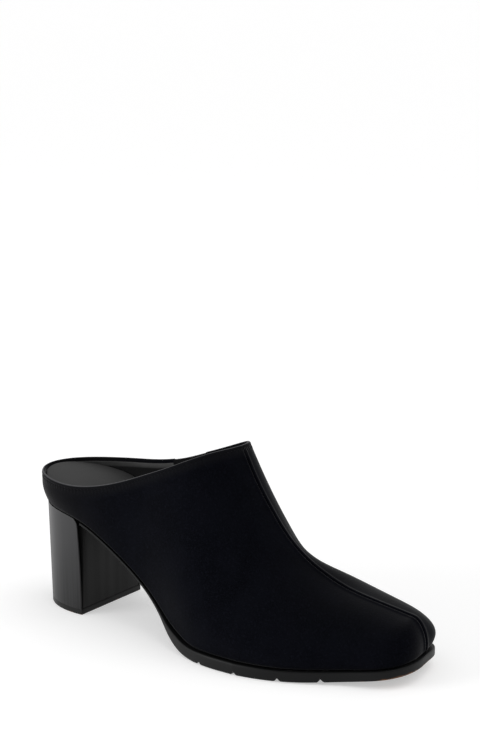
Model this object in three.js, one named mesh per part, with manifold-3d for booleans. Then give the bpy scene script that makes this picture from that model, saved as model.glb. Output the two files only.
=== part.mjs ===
// Square-toe heeled mule, right shoe, in millimetres.
// While it is built, x runs from the back of the heel seat to the toe, y to the medial side, z up
// from the floor. At the end the group is moved so that its origin is under the middle of its box.

import * as THREE from 'three';
import { mergeVertices } from 'three/addons/utils/BufferGeometryUtils.js';
import Module from 'manifold-3d';

const wasm = await Module();
wasm.setup();

// Driving dimensions of the last
const lastLength = 237.5; // heel back to toe front, along the edge of the last's bottom
const ballWidth = 90; // across that edge at the ball
const ballLateralShare = 0.597; // how much of the ball width lies on the lateral side of the seam
const seatWidth = 54; // across the heel seat
const toeWidth = 49.5; // across the toe, where its two sides would reach the front
const toeLateralShare = 0.61;
const seatRound = 38; // length of the half ellipse round the heel
const toeRound = 25; // length of the soft square round the toe
const toeSquareness = { lateral: 3.8, medial: 2 }; // exponents of that round, 2 is an ellipse
const heelHeight = 57.5; // floor to the back of the heel seat
const throatHeight = 101.4; // floor to the peak of the throat
const throatAt = 125.3; // heel back to the peak of the throat
const toeTopHeight = 27.4; // floor to the top of the toe box
const toeTopInset = 12; // how far the top of the toe box lies behind the toe front
const fullness = 3.5; // how far the upper swells past the edge of the last's bottom

// Driving dimensions of the upper
const upperWall = 2;
const bandHeight = 15.1; // of the low band round the heel
const seamLip = 0.4;
const seamDepth = 0.9;
const seamWidth = 1.1;
const goreAt = 60; // rear edge of the elastic insert, from the heel back
const goreWidth = 24;
const goreNarrowing = 5; // how much each side leans in towards the bottom
const goreDepth = 27;
const goreWall = 1.4;

// Driving dimensions of the sole unit and the heel
const toeSpring = 7.9;
const springCurve = 3.6; // exponent of the sole's rise towards the toe
const ballThickness = 6.6;
const toeThickness = 4.6;
const shankThickness = 1.6;
const soleLedge = 2.3; // how far the sole stands out past the upper
const treadStart = 130; // where the sole leaves the floor towards the waist
const springStart = 158; // where the sole leaves the floor towards the toe
const heelBaseWidth = 53;
const heelBaseLength = 36;
const breastAt = 38; // heel back to the flat front of the heel
const liftThickness = 3;
const grooveDepth = 2.2;
const grooveWidth = 3.4;
const grooveCount = 4;
const firstGroove = 134.6;
const grooveSpacing = 21.4;

// Driving dimensions of the footbed
const footbedHeel = 14.5;
const footbedToe = 4;
const footbedTaper = 1.7; // exponent of its thinning towards the ball
const footbedEdge = 1.4; // radius of its upper edge
const wallClearance = 0.8; // between the footbed and the upper

const gap = 0.3; // between pieces that meet on a curved face

// The plan of the last's bottom. reach is 0 at the seat's half width, 1 at the ball's and 2 at the toe's.
const PLAN = [
  { at: 0.0, lateral: 0.0, medial: 0.0 },
  { at: 0.16, lateral: 0.01, medial: -0.02 },
  { at: 0.27, lateral: 0.06, medial: -0.27 },
  { at: 0.36, lateral: 0.19, medial: -0.43 },
  { at: 0.44, lateral: 0.46, medial: -0.25 },
  { at: 0.52, lateral: 0.77, medial: 0.3 },
  { at: 0.6, lateral: 0.96, medial: 0.81 },
  { at: 0.66, lateral: 1.0, medial: 0.99 },
  { at: 0.72, lateral: 1.08, medial: 1.03 },
  { at: 0.8, lateral: 1.34, medial: 1.23 },
  { at: 0.88, lateral: 1.72, medial: 1.56 },
  { at: 0.94, lateral: 1.9, medial: 1.8 },
  { at: 1.0, lateral: 2.0, medial: 2.0 },
];

// The sole seen from the side. rise is a share of the height of the seat, thick is 0 at the shank's
// thickness, 1 at the ball's and 2 at the toe's, ledge is a share of the sole's ledge.
const SOLE = [
  { at: 0.0, rise: 1.0, thick: 0.0, ledge: 0.25 },
  { at: 0.08, rise: 0.977, thick: 0.0, ledge: 0.25 },
  { at: 0.16, rise: 0.915, thick: 0.0, ledge: 0.25 },
  { at: 0.22, rise: 0.795, thick: 0.0, ledge: 0.25 },
  { at: 0.28, rise: 0.65, thick: 0.0, ledge: 0.3 },
  { at: 0.34, rise: 0.495, thick: 0.0, ledge: 0.35 },
  { at: 0.39, rise: 0.355, thick: 0.05, ledge: 0.45 },
  { at: 0.42, rise: 0.257, thick: 0.2, ledge: 0.6 },
  { at: 0.45, rise: 0.147, thick: 0.6, ledge: 0.85 },
  { at: 0.48, rise: 0.065, thick: 0.95, ledge: 1.0 },
  { at: 0.52, rise: 0.012, thick: 1.08, ledge: 1.0 },
  { at: 0.58, rise: 0.0, thick: 1.02, ledge: 1.0 },
  { at: 0.66, rise: 0.0, thick: 1.1, ledge: 1.0 },
  { at: 0.8, rise: 0.0, thick: 1.45, ledge: 1.0 },
  { at: 1.0, rise: 0.0, thick: 2.0, ledge: 0.8 },
];

// Height of the open edge, 0 at the band round the heel and 1 at the peak of the throat. Here at is
// a share of the way from the heel back to that peak.
const TOPLINE = [
  { at: 0.0, lateral: 0.04, medial: 0.04 },
  { at: 0.15, lateral: 0.0, medial: 0.04 },
  { at: 0.303, lateral: 0.0, medial: 0.08 },
  { at: 0.398, lateral: 0.06, medial: 0.13 },
  { at: 0.531, lateral: 0.22, medial: 0.26 },
  { at: 0.663, lateral: 0.44, medial: 0.46 },
  { at: 0.796, lateral: 0.68, medial: 0.67 },
  { at: 0.91, lateral: 0.9, medial: 0.87 },
  { at: 0.967, lateral: 0.98, medial: 0.96 },
  { at: 1.005, lateral: 1.0, medial: 1.0 },
];

// Cross sections of the last. ridge is 0 at the top of the toe box and 1 at the peak of the throat,
// square is the exponent of each side's curve, swell is a share of the fullness, and widest is the
// height where that swell is largest, as a share of the section's height.
const SECTIONS = [
  { at: 0.0, ridge: 2.06, lateralSquare: 2.2, medialSquare: 2.2, lateralSwell: 0.85, medialSwell: 0.85, widest: 0.09 },
  { at: 0.16, ridge: 2.02, lateralSquare: 2.1, medialSquare: 2.2, lateralSwell: 0.9, medialSwell: 1.1, widest: 0.12 },
  { at: 0.26, ridge: 1.93, lateralSquare: 1.95, medialSquare: 2.1, lateralSwell: 0.7, medialSwell: 1.7, widest: 0.2 },
  { at: 0.38, ridge: 1.71, lateralSquare: 1.8, medialSquare: 1.95, lateralSwell: 0.5, medialSwell: 2.1, widest: 0.28 },
  { at: 0.47, ridge: 1.35, lateralSquare: 1.72, medialSquare: 1.85, lateralSwell: 0.5, medialSwell: 1.7, widest: 0.27 },
  { at: 0.526, ridge: 1.0, lateralSquare: 1.7, medialSquare: 2.3, lateralSwell: 0.6, medialSwell: 1.2, widest: 0.25 },
  { at: 0.562, ridge: 0.758, lateralSquare: 1.7, medialSquare: 1.98, lateralSwell: 0.65, medialSwell: 1.0, widest: 0.25 },
  { at: 0.597, ridge: 0.582, lateralSquare: 1.72, medialSquare: 1.8, lateralSwell: 0.7, medialSwell: 0.9, widest: 0.25 },
  { at: 0.642, ridge: 0.399, lateralSquare: 1.78, medialSquare: 1.68, lateralSwell: 0.8, medialSwell: 0.85, widest: 0.25 },
  { at: 0.687, ridge: 0.284, lateralSquare: 1.85, medialSquare: 1.82, lateralSwell: 0.85, medialSwell: 0.8, widest: 0.25 },
  { at: 0.735, ridge: 0.195, lateralSquare: 1.95, medialSquare: 2.15, lateralSwell: 0.8, medialSwell: 0.75, widest: 0.27 },
  { at: 0.793, ridge: 0.119, lateralSquare: 2.05, medialSquare: 2.45, lateralSwell: 0.7, medialSwell: 0.65, widest: 0.3 },
  { at: 0.855, ridge: 0.073, lateralSquare: 2.15, medialSquare: 2.7, lateralSwell: 0.6, medialSwell: 0.55, widest: 0.3 },
  { at: 0.95, ridge: 0.0, lateralSquare: 2.4, medialSquare: 3.0, lateralSwell: 0.35, medialSwell: 0.1, widest: 0.33 },
  { at: 1.0, ridge: -0.04, lateralSquare: 2.5, medialSquare: 2.5, lateralSwell: 0.1, medialSwell: 0.1, widest: 0.35 },
];

const SIDES = { lateral: -1, medial: 1 };

// A smooth curve through one column of a table, as a natural cubic spline
function columnCurve(rows, column) {
  const count = rows.length;
  const bend = new Array(count).fill(0);
  const carry = new Array(count).fill(0);
  for (let i = 1; i < count - 1; i += 1) {
    const before = rows[i].at - rows[i - 1].at;
    const after = rows[i + 1].at - rows[i].at;
    const slopeBefore = (rows[i][column] - rows[i - 1][column]) / before;
    const slopeAfter = (rows[i + 1][column] - rows[i][column]) / after;
    const weight = before / (before + after);
    const pivot = weight * carry[i - 1] + 2;
    carry[i] = (weight - 1) / pivot;
    bend[i] = ((6 * (slopeAfter - slopeBefore)) / (before + after) - weight * bend[i - 1]) / pivot;
  }
  for (let i = count - 2; i >= 0; i -= 1) {
    bend[i] += carry[i] * bend[i + 1];
  }
  return (at) => {
    let i = 0;
    while (i < count - 2 && at > rows[i + 1].at) {
      i += 1;
    }
    const width = rows[i + 1].at - rows[i].at;
    const right = (at - rows[i].at) / width;
    const left = 1 - right;
    const curved = ((left ** 3 - left) * bend[i] + (right ** 3 - right) * bend[i + 1]) * (width ** 2 / 6);
    return left * rows[i][column] + right * rows[i + 1][column] + curved;
  };
}

function tableCurves(rows) {
  const columns = Object.keys(rows[0]).filter((name) => name !== 'at');
  return Object.fromEntries(columns.map((name) => [name, columnCurve(rows, name)]));
}

const plan = tableCurves(PLAN);
const sole = tableCurves(SOLE);
const topline = tableCurves(TOPLINE);
const sections = tableCurves(SECTIONS);

const { lerp, clamp } = THREE.MathUtils;

// A value that runs from the first to the second as step goes from 0 to 1, and on to the third at 2
function threeWay(step, first, second, third) {
  return step < 1 ? lerp(first, second, step) : lerp(second, third, step - 1);
}

function halfWidth(side, x) {
  const shares = side === 'lateral' ? [ballLateralShare, toeLateralShare] : [1 - ballLateralShare, 1 - toeLateralShare];
  const reach = plan[side](x / lastLength);
  const width = threeWay(reach, seatWidth / 2, ballWidth * shares[0], toeWidth * shares[1]);
  const heelPart = clamp(1 - x / seatRound, 0, 1);
  const toePart = clamp(1 - (lastLength - x) / toeRound, 0, 1);
  const square = toeSquareness[side];
  return width * Math.sqrt(1 - heelPart ** 2) * (1 - toePart ** square) ** (1 / square);
}

// Height of the sole's underside
function undersideHeight(x) {
  const lifted = x < treadStart ? sole.rise(x / lastLength) * (heelHeight - shankThickness) : 0;
  const sprung = clamp((x - springStart) / (lastLength - springStart), 0, 2);
  return Math.max(0, lifted) + toeSpring * sprung ** springCurve;
}

function soleThickness(x) {
  const thick = Math.max(0, sole.thick(x / lastLength));
  return threeWay(thick, shankThickness, ballThickness, toeThickness);
}

// Height of the edge of the last's bottom, where the upper meets the sole or the heel
function seatHeight(x) {
  return undersideHeight(x) + soleThickness(x);
}

// Rows of the upper, even up its wall and closer together beside the seam and the open edge
const ROWS = 9;
const SEAM_ROWS = [4, 2.4, 1.3, 0.5, 0].map((share) => share * seamWidth);
const LAST_ROW = ROWS + SEAM_ROWS.length - 1;

// Stations along the last: round the heel, along the waist, along the forepart and round the toe
function roundSteps(count) {
  return Array.from({ length: count }, (_, i) => (i / count) * (Math.PI / 2));
}

function evenSteps(from, to, count) {
  return Array.from({ length: count }, (_, i) => lerp(from, to, i / count));
}

const toeStart = lastLength - toeRound;
const meanSquareness = (toeSquareness.lateral + toeSquareness.medial) / 2;
const frontReach = SEAM_ROWS.map((half) => {
  const share = half / (toeWidth / 2);
  return toeStart + toeRound * (1 - share ** meanSquareness) ** (1 / meanSquareness);
});
const STATIONS = [
  ...roundSteps(11).map((turn) => seatRound * (1 - Math.cos(turn))),
  ...evenSteps(seatRound, throatAt, 18),
  ...evenSteps(throatAt, toeStart, 17),
  ...roundSteps(9).map((turn) => toeStart + toeRound * Math.sin(turn) ** (2 / meanSquareness)),
  ...frontReach,
];

// The point of the last's bottom edge at x, and the direction straight out from it in plan
function edgePoint(side, x) {
  return new THREE.Vector3(x, SIDES[side] * halfWidth(side, x), seatHeight(x));
}

function outward(side, x) {
  if (x <= 0) {
    return new THREE.Vector3(-1, 0, 0);
  }
  if (x >= lastLength) {
    return new THREE.Vector3(1, 0, 0);
  }
  const step = Math.min(0.05, x / 2, (lastLength - x) / 2);
  const before = edgePoint(side, x - step);
  const after = edgePoint(side, x + step);
  const along = after.sub(before).setZ(0).normalize();
  return new THREE.Vector3(along.y * -SIDES[side], along.x * SIDES[side], 0);
}

// One rib of the last: it rises from the bottom's edge to the ridge over the middle. Ribs fan in
// towards the ridge at both ends.
function makeRib(side, x) {
  const heelPart = clamp(1 - x / seatRound, 0, 1);
  const toePart = clamp(1 - (lastLength - x) / toeRound, 0, 1);
  const ridgeX = x + toeTopInset * (heelPart ** 2 - toePart ** 2);
  const ridgeAt = ridgeX / lastLength;
  const ridge = new THREE.Vector3(ridgeX, 0, lerp(toeTopHeight, throatHeight, sections.ridge(ridgeAt)));
  const at = x / lastLength;
  return {
    foot: edgePoint(side, x),
    out: outward(side, x),
    ridge,
    square: sections[`${side}Square`](at),
    swell: fullness * sections[`${side}Swell`](at),
    widest: sections.widest(at),
  };
}

// The swell's share at a share of the section's height: it grows to the widest place, then dies away
function swellShare(up, widest) {
  if (up < widest) {
    return Math.sin(((up / widest) * Math.PI) / 2);
  }
  return Math.cos((((up - widest) / (1 - widest)) * Math.PI) / 2) ** 2;
}

// A point on a rib, turn runs from 0 at the edge to a quarter turn at the ridge
function onRib(rib, turn) {
  const across = Math.cos(turn) ** (2 / rib.square);
  const up = Math.sin(turn) ** (2 / rib.square);
  const point = rib.ridge.clone().lerp(rib.foot, Math.min(across, 1));
  point.addScaledVector(rib.out, rib.swell * swellShare(up, rib.widest));
  point.z = lerp(rib.foot.z, rib.ridge.z, up);
  return point;
}

// The turn at which a rib reaches a height
function turnAtHeight(rib, height) {
  const share = clamp((height - rib.foot.z) / (rib.ridge.z - rib.foot.z), 0, 1);
  return Math.asin(share ** (rib.square / 2));
}

function toplineHeight(side, x) {
  return lerp(heelHeight + bandHeight, throatHeight, topline[side](x / throatAt));
}

// Where the mesh line that starts at x on the bottom edge ends at the top: the lines crowd together
// at the throat, so that its round edge is drawn evenly
const throatRun = 30;

function topStation(x) {
  const away = (x - throatAt) / throatRun;
  if (Math.abs(away) >= 1) {
    return x;
  }
  return throatAt + throatRun * Math.sign(away) * (2 * away ** 2 - Math.abs(away) ** 3);
}

// Points of one mesh line, from the bottom edge up to the open edge or the seam
function meshLine(side, x) {
  const fine = 80;
  const topX = topStation(x);
  const topRib = makeRib(side, topX);
  const topTurn = topX < throatAt ? turnAtHeight(topRib, toplineHeight(side, topX)) : Math.PI / 2;
  const pointAt = (share) => onRib(makeRib(side, lerp(x, topX, share)), topTurn * share);
  const points = evenSteps(0, 1, fine).concat(1).map(pointAt);
  const lengths = [0];
  for (let k = 1; k <= fine; k += 1) {
    lengths.push(lengths[k - 1] + points[k].distanceTo(points[k - 1]));
  }
  const total = lengths[fine];
  const wanted = [];
  for (let j = 0; j <= LAST_ROW; j += 1) {
    wanted.push(j < ROWS ? ((total - SEAM_ROWS[0]) * j) / ROWS : total - SEAM_ROWS[j - ROWS]);
  }
  return wanted.map((length) => {
    let k = 1;
    while (k < fine && lengths[k] < length) {
      k += 1;
    }
    const share = (length - lengths[k - 1]) / (lengths[k] - lengths[k - 1]);
    return pointAt((k - 1 + share) / fine);
  });
}

// How far the outer face stands out near the centre seam: two soft lips with a groove between them
const lipAt = 1.4 * seamWidth;
const grooveHalf = 0.45 * seamWidth;

function seamRelief(distance) {
  const lip = seamLip * Math.exp(-(((distance - lipAt) / seamWidth) ** 2));
  const groove = seamDepth * Math.exp(-((distance / grooveHalf) ** 2));
  return lip - groove;
}

function closedGeometry(points, triangles) {
  const flat = new Float32Array(points.length * 3);
  points.forEach((point, i) => point.toArray(flat, i * 3));
  const loose = new THREE.BufferGeometry();
  loose.setAttribute('position', new THREE.BufferAttribute(flat, 3));
  loose.setIndex(triangles.flat());
  const merged = mergeVertices(loose, 1e-3);
  const index = merged.getIndex().array;
  const kept = [];
  for (let i = 0; i < index.length; i += 3) {
    const [a, b, c] = index.slice(i, i + 3);
    if (a !== b && b !== c && c !== a) {
      kept.push(a, b, c);
    }
  }
  merged.setIndex(kept);
  return merged;
}

function quad(a, b, c, d) {
  return [
    [a, b, c],
    [a, c, d],
  ];
}

// The same, cut along its shorter diagonal
function shortQuad(points, a, b, c, d) {
  const across = points[a].distanceTo(points[c]);
  return across <= points[b].distanceTo(points[d]) ? quad(a, b, c, d) : quad(b, c, d, a);
}

// The last's surface from the bottom edge to the topline and the seam, as shared points, their
// normals, the triangles between them, and the loops of its two open edges
function lastSurface() {
  const points = [];
  const seamDistance = [];
  const ids = { lateral: [], medial: [] };
  const front = STATIONS.length - 1;
  for (const side of Object.keys(SIDES)) {
    STATIONS.forEach((x, i) => {
      const closed = x >= throatAt;
      ids[side][i] = meshLine(side, x).map((point, j) => {
        const shared = i === 0 || i === front || (closed && j === LAST_ROW);
        if (shared && side === 'medial') {
          return ids.lateral[i][j];
        }
        if (shared) {
          point.setY(0);
        }
        points.push(point);
        seamDistance.push(closed ? Math.abs(point.y) : Infinity);
        return points.length - 1;
      });
    });
  }
  const triangles = [];
  for (let i = 0; i < front; i += 1) {
    const near = ids.lateral;
    const far = ids.medial;
    for (let j = 0; j < LAST_ROW; j += 1) {
      triangles.push(...shortQuad(points, near[i][j], near[i + 1][j], near[i + 1][j + 1], near[i][j + 1]));
      triangles.push(...shortQuad(points, far[i][j], far[i][j + 1], far[i + 1][j + 1], far[i + 1][j]));
    }
  }
  const throat = STATIONS.findIndex((x) => x >= throatAt);
  const bottomLoop = [
    ...ids.lateral.map((rib) => rib[0]),
    ...ids.medial
      .slice(1, front)
      .map((rib) => rib[0])
      .reverse(),
  ];
  const topLoop = [
    ...ids.lateral.slice(0, throat + 1).map((rib) => rib[LAST_ROW]),
    ...ids.medial
      .slice(1, throat)
      .map((rib) => rib[LAST_ROW])
      .reverse(),
  ];
  const sheet = new THREE.BufferGeometry().setFromPoints(points);
  sheet.setIndex(triangles.flat());
  sheet.computeVertexNormals();
  const normals = points.map((_, i) => new THREE.Vector3().fromBufferAttribute(sheet.getAttribute('normal'), i));
  return { points, normals, seamDistance, triangles, bottomLoop, topLoop };
}

function upperGeometry() {
  const { points, normals, seamDistance, triangles, bottomLoop, topLoop } = lastSurface();
  const outer = points.map((point, i) => {
    const relief = Number.isFinite(seamDistance[i]) ? seamRelief(seamDistance[i]) : 0;
    return point.clone().addScaledVector(normals[i], relief);
  });
  const inner = points.map((point, i) => point.clone().addScaledVector(normals[i], -upperWall));
  const count = points.length;
  const faces = triangles.flatMap(([a, b, c]) => [
    [a, b, c],
    [a + count, c + count, b + count],
  ]);
  bottomLoop.forEach((a, k) => {
    const b = bottomLoop[(k + 1) % bottomLoop.length];
    faces.push(...quad(b, a, a + count, b + count));
  });
  topLoop.forEach((a, k) => {
    const b = topLoop[(k + 1) % topLoop.length];
    faces.push(...quad(a, b, b + count, a + count));
  });
  return closedGeometry([...outer, ...inner], faces);
}

// A patch of the upper's medial wall between two depths below the topline, for the elastic insert
function wallPatch(grow, over, outside, inside) {
  const acrossCount = 8;
  const downCount = 8;
  const layers = [outside, inside].map((offset) => {
    const layer = [];
    for (let j = 0; j <= downCount; j += 1) {
      const depth = lerp(goreDepth + grow, -over, j / downCount);
      const lean = goreNarrowing * clamp(depth / goreDepth, 0, 1);
      for (let i = 0; i <= acrossCount; i += 1) {
        const x = lerp(goreAt + lean - grow, goreAt + goreWidth - lean + grow, i / acrossCount);
        layer.push(wallPoint('medial', x, toplineHeight('medial', x) - depth, offset));
      }
    }
    return layer;
  });
  const points = layers.flat();
  const size = layers[0].length;
  const row = acrossCount + 1;
  const faces = [];
  for (let j = 0; j < downCount; j += 1) {
    for (let i = 0; i < acrossCount; i += 1) {
      const a = j * row + i;
      faces.push(...quad(a, a + row, a + row + 1, a + 1));
      faces.push(...quad(a + size, a + size + 1, a + size + row + 1, a + size + row));
    }
  }
  const rim = [
    ...evenSteps(0, acrossCount, acrossCount),
    ...evenSteps(acrossCount, acrossCount + downCount * row, downCount),
    ...evenSteps(size - 1, size - 1 - acrossCount, acrossCount),
    ...evenSteps(downCount * row, 0, downCount),
  ];
  rim.forEach((a, k) => {
    const b = rim[(k + 1) % rim.length];
    faces.push(...quad(a, b, b + size, a + size));
  });
  return closedGeometry(points, faces);
}

// A point at a height on the wall, moved out along the wall's normal
function wallPoint(side, x, height, offset) {
  const at = (place, level) => {
    const rib = makeRib(side, place);
    return onRib(rib, turnAtHeight(rib, level));
  };
  const step = 0.5;
  const along = at(x + step, height).sub(at(x - step, height));
  const up = at(x, height + step).sub(at(x, height - step));
  const normal = along.cross(up).normalize();
  normal.multiplyScalar(Math.sign(normal.y) * SIDES[side]);
  return at(x, height).addScaledVector(normal, offset);
}

// A closed solid from loops that run forward along the lateral side and back along the medial one.
// Its two ends are closed straight across.
function loftedGeometry(loops) {
  const size = loops[0].length;
  const points = loops.flat();
  const faces = [];
  for (let j = 0; j < loops.length - 1; j += 1) {
    for (let i = 0; i < size; i += 1) {
      const next = (i + 1) % size;
      faces.push(...quad(j * size + i, j * size + next, (j + 1) * size + next, (j + 1) * size + i));
    }
  }
  const top = (loops.length - 1) * size;
  for (let i = 0; i < size / 2 - 1; i += 1) {
    faces.push(...quad(size - 1 - i, size - 2 - i, i + 1, i));
    faces.push(...quad(top + i, top + i + 1, top + size - 2 - i, top + size - 1 - i));
  }
  return closedGeometry(points, faces);
}

function loop(xs, pointAt) {
  const near = xs.map((x) => pointAt('lateral', x));
  const far = xs.map((x) => pointAt('medial', x));
  return [...near, ...far.reverse()];
}

function soleStations(from) {
  return [from, ...STATIONS.filter((x) => x > from + 1)];
}

// The sole unit: thin shank, thick forepart, a ledge round the upper and grooves across the tread
const SOLE_SIDE = [
  { out: 0.6, up: 0 },
  { out: 0.95, up: 0.1 },
  { out: 1, up: 0.35 },
  { out: 1, up: 0.84 },
  { out: 0.72, up: 1 },
];

function soleSolid() {
  const xs = soleStations(breastAt + gap);
  const loops = SOLE_SIDE.map(({ out, up }) =>
    loop(xs, (side, x) => {
      const ledge = soleLedge * sole.ledge(x / lastLength);
      const edge = edgePoint(side, x);
      const point = edge.clone().addScaledVector(outward(side, x), ledge * out);
      const top = edge.z - gap;
      point.x = Math.max(point.x, xs[0]);
      point.z = lerp(undersideHeight(x), top, up);
      return point;
    }),
  );
  let solid = toSolid(loftedGeometry(loops));
  for (let i = 0; i < grooveCount; i += 1) {
    solid = solid.subtract(toSolid(grooveGeometry(firstGroove + i * grooveSpacing)));
  }
  return solid;
}

function grooveGeometry(x) {
  const floor = undersideHeight(x);
  const shape = new THREE.Shape();
  shape.moveTo(-grooveWidth, -grooveDepth);
  shape.lineTo(grooveWidth, -grooveDepth);
  shape.lineTo(0, grooveDepth);
  const geometry = new THREE.ExtrudeGeometry(shape, { depth: ballWidth * 2, bevelEnabled: false });
  geometry.rotateX(Math.PI / 2);
  geometry.translate(x, ballWidth, floor);
  return geometry;
}

// The heel: a block with a flat front and a rounded back that carries the seat of the upper
function heelLoop(xs, level, heightAt) {
  return loop(xs, (side, x) => {
    const share = (breastAt - x) / breastAt;
    const topEdge = new THREE.Vector3(x, SIDES[side] * halfWidth(side, x), 0);
    const baseX = breastAt - heelBaseLength * share;
    const baseY = (heelBaseWidth / 2) * Math.sqrt(1 - share ** 2);
    const point = new THREE.Vector3(baseX, SIDES[side] * baseY, 0).lerp(topEdge, level);
    point.z = heightAt(point.x);
    return point;
  });
}

function heelGeometry() {
  const xs = [...STATIONS.filter((x) => x < breastAt - 1), breastAt];
  const levels = [0, 0.25, 0.5, 0.75, 1];
  return loftedGeometry(
    levels.map((level) => heelLoop(xs, level, (x) => lerp(liftThickness, seatHeight(x) - gap, level))),
  );
}

function liftGeometry() {
  const xs = [...STATIONS.filter((x) => x < breastAt - 1), breastAt];
  return loftedGeometry([0, liftThickness].map((height) => heelLoop(xs, 0, () => height)));
}

// The footbed: a padded board that fills the bottom of the upper
function footbedThickness(x) {
  return lerp(footbedToe, footbedHeel, clamp(1 - x / treadStart, 0, 1) ** footbedTaper);
}

const FOOTBED_SIDE = [
  { up: 0, inset: 0 },
  { up: 0.4, inset: 0 },
  { up: 0.75, inset: 0 },
  { up: 0.93, inset: 0.35 },
  { up: 1, inset: 1 },
];

function footbedGeometry() {
  const loops = FOOTBED_SIDE.map(({ up, inset }) =>
    loop(STATIONS, (side, x) => {
      const rib = makeRib(side, x);
      const height = lerp(gap, footbedThickness(x), up);
      const point = onRib(rib, turnAtHeight(rib, rib.foot.z + height));
      const room = upperWall + wallClearance + inset * footbedEdge;
      point.addScaledVector(rib.out, -room);
      point.z = seatHeight(point.x) + height;
      return point;
    }),
  );
  return loftedGeometry(loops);
}

// Booleans
function toSolid(geometry) {
  const bare = geometry.clone();
  bare.deleteAttribute('normal');
  bare.deleteAttribute('uv');
  const merged = mergeVertices(bare, 1e-4);
  return new wasm.Manifold(
    new wasm.Mesh({
      numProp: 3,
      vertProperties: new Float32Array(merged.getAttribute('position').array),
      triVerts: new Uint32Array(merged.getIndex().array),
    }),
  );
}

function toGeometry(solid) {
  const mesh = solid.getMesh();
  const geometry = new THREE.BufferGeometry();
  geometry.setAttribute('position', new THREE.BufferAttribute(mesh.vertProperties, 3));
  geometry.setIndex(new THREE.BufferAttribute(mesh.triVerts, 1));
  return geometry;
}

// The pieces
const shoe = new THREE.Group();

function addPiece(name, geometry, color, roughness) {
  geometry.computeVertexNormals();
  const material = new THREE.MeshStandardMaterial({ color, roughness, metalness: 0, flatShading: true });
  const mesh = new THREE.Mesh(geometry, material);
  mesh.name = name;
  shoe.add(mesh);
}

const cutOver = 2; // how far the cut for the insert runs past both faces of the wall
const goreHole = toSolid(wallPatch(gap, 2 * cutOver, cutOver, -upperWall - cutOver));
addPiece('upper', toGeometry(toSolid(upperGeometry()).subtract(goreHole)), 0x0e0f13, 0.95);
addPiece('elastic_gore', wallPatch(0, 0, -gap, -gap - goreWall), 0x1a1a1c, 0.9);
addPiece('insole', footbedGeometry(), 0x4c4c4e, 0.7);
addPiece('outsole', toGeometry(soleSolid()), 0x2a2a2c, 0.6);
addPiece('heel', heelGeometry(), 0x1c1c1e, 0.25);
addPiece('top_lift', liftGeometry(), 0x18181a, 0.55);

const box = new THREE.Box3().setFromObject(shoe);
const middle = box.getCenter(new THREE.Vector3());
shoe.position.set(-middle.x, -middle.y, -box.min.z);
shoe.updateMatrixWorld(true);

export default shoe;
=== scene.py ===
"""Looks of a square-toe heeled mule, right shoe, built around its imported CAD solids.

The shapes are worked out in millimetres on the shoe's last: x runs from the back of the heel seat to
the toe, y to the medial side and z up from the floor. Meshes are moved to the frame and turned into
metres when they are made.
"""

import math

import bmesh
import bpy
import numpy as np
from bpy.props import FloatProperty, FloatVectorProperty, IntProperty, PointerProperty
from mathutils import Matrix, Vector
from mathutils.kdtree import KDTree


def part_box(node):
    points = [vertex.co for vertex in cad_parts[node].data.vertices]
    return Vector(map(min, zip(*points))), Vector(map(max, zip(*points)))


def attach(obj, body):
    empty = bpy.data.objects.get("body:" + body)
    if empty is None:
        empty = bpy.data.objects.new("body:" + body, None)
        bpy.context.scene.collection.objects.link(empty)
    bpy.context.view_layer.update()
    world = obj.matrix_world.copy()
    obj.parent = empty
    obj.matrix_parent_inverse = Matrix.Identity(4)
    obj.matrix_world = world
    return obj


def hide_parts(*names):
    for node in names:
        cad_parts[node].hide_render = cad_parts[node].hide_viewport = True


bl_info = {
    "name": "Square-toe heeled mule",
    "version": (1, 0, 0),
    "blender": (4, 5, 0),
    "location": "3D View > Sidebar > Mule",
    "description": "Builds the upper, footbed, sole and heel of a heeled mule around its frame",
    "category": "Add Mesh",
}

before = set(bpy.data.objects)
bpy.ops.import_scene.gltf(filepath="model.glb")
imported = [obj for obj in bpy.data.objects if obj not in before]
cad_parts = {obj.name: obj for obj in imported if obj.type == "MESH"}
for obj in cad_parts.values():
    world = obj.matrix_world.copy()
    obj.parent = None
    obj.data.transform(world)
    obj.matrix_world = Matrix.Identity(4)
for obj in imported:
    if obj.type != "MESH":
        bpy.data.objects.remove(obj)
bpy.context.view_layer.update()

# Sizes of the last and of the pieces, in millimetres. Most are the solids' own. The toe spring and
# its curve, the toe's thickness, its top's inset and the V grooves' places were fitted to the photo
# once more, after the solids were done, and differ a little.
LAST_LENGTH = 237.5
BALL_WIDTH = 90
BALL_LATERAL_SHARE = 0.597
SEAT_WIDTH = 54
TOE_WIDTH = 49.5
TOE_LATERAL_SHARE = 0.61
SEAT_ROUND = 38
TOE_ROUND = 25
TOE_SQUARENESS = {"lateral": 3.8, "medial": 2}
HEEL_HEIGHT = 57.5
THROAT_HEIGHT = 101.4
THROAT_AT = 125.3
TOE_TOP_HEIGHT = 27.4
TOE_TOP_INSET = 11.4
FULLNESS = 3.5
UPPER_WALL = 2
BAND_HEIGHT = 15.1
GORE_AT = 60
GORE_WIDTH = 24
GORE_NARROWING = 5
GORE_DEPTH = 27
TOE_SPRING = 6.7
SPRING_CURVE = 2.7
BALL_THICKNESS = 6.6
TOE_THICKNESS = 4.9
SHANK_THICKNESS = 1.6
SOLE_LEDGE = 2.3
TREAD_START = 130
SPRING_START = 158
HEEL_BASE_WIDTH = 53
HEEL_BASE_LENGTH = 36
BREAST_AT = 38
LIFT_THICKNESS = 3
GROOVE_DEPTH = 2.2
GROOVE_WIDTH = 3.4
GROOVES_AT = [134.2, 157.2, 180.4, 200.3]
FOOTBED_HEEL = 14.5
FOOTBED_TOE = 4
FOOTBED_TAPER = 1.7
# Between pieces that lie against each other
GAP = 0.3
# Mesh lines crowd together this far on both sides of the throat
THROAT_RUN = 30
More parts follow.
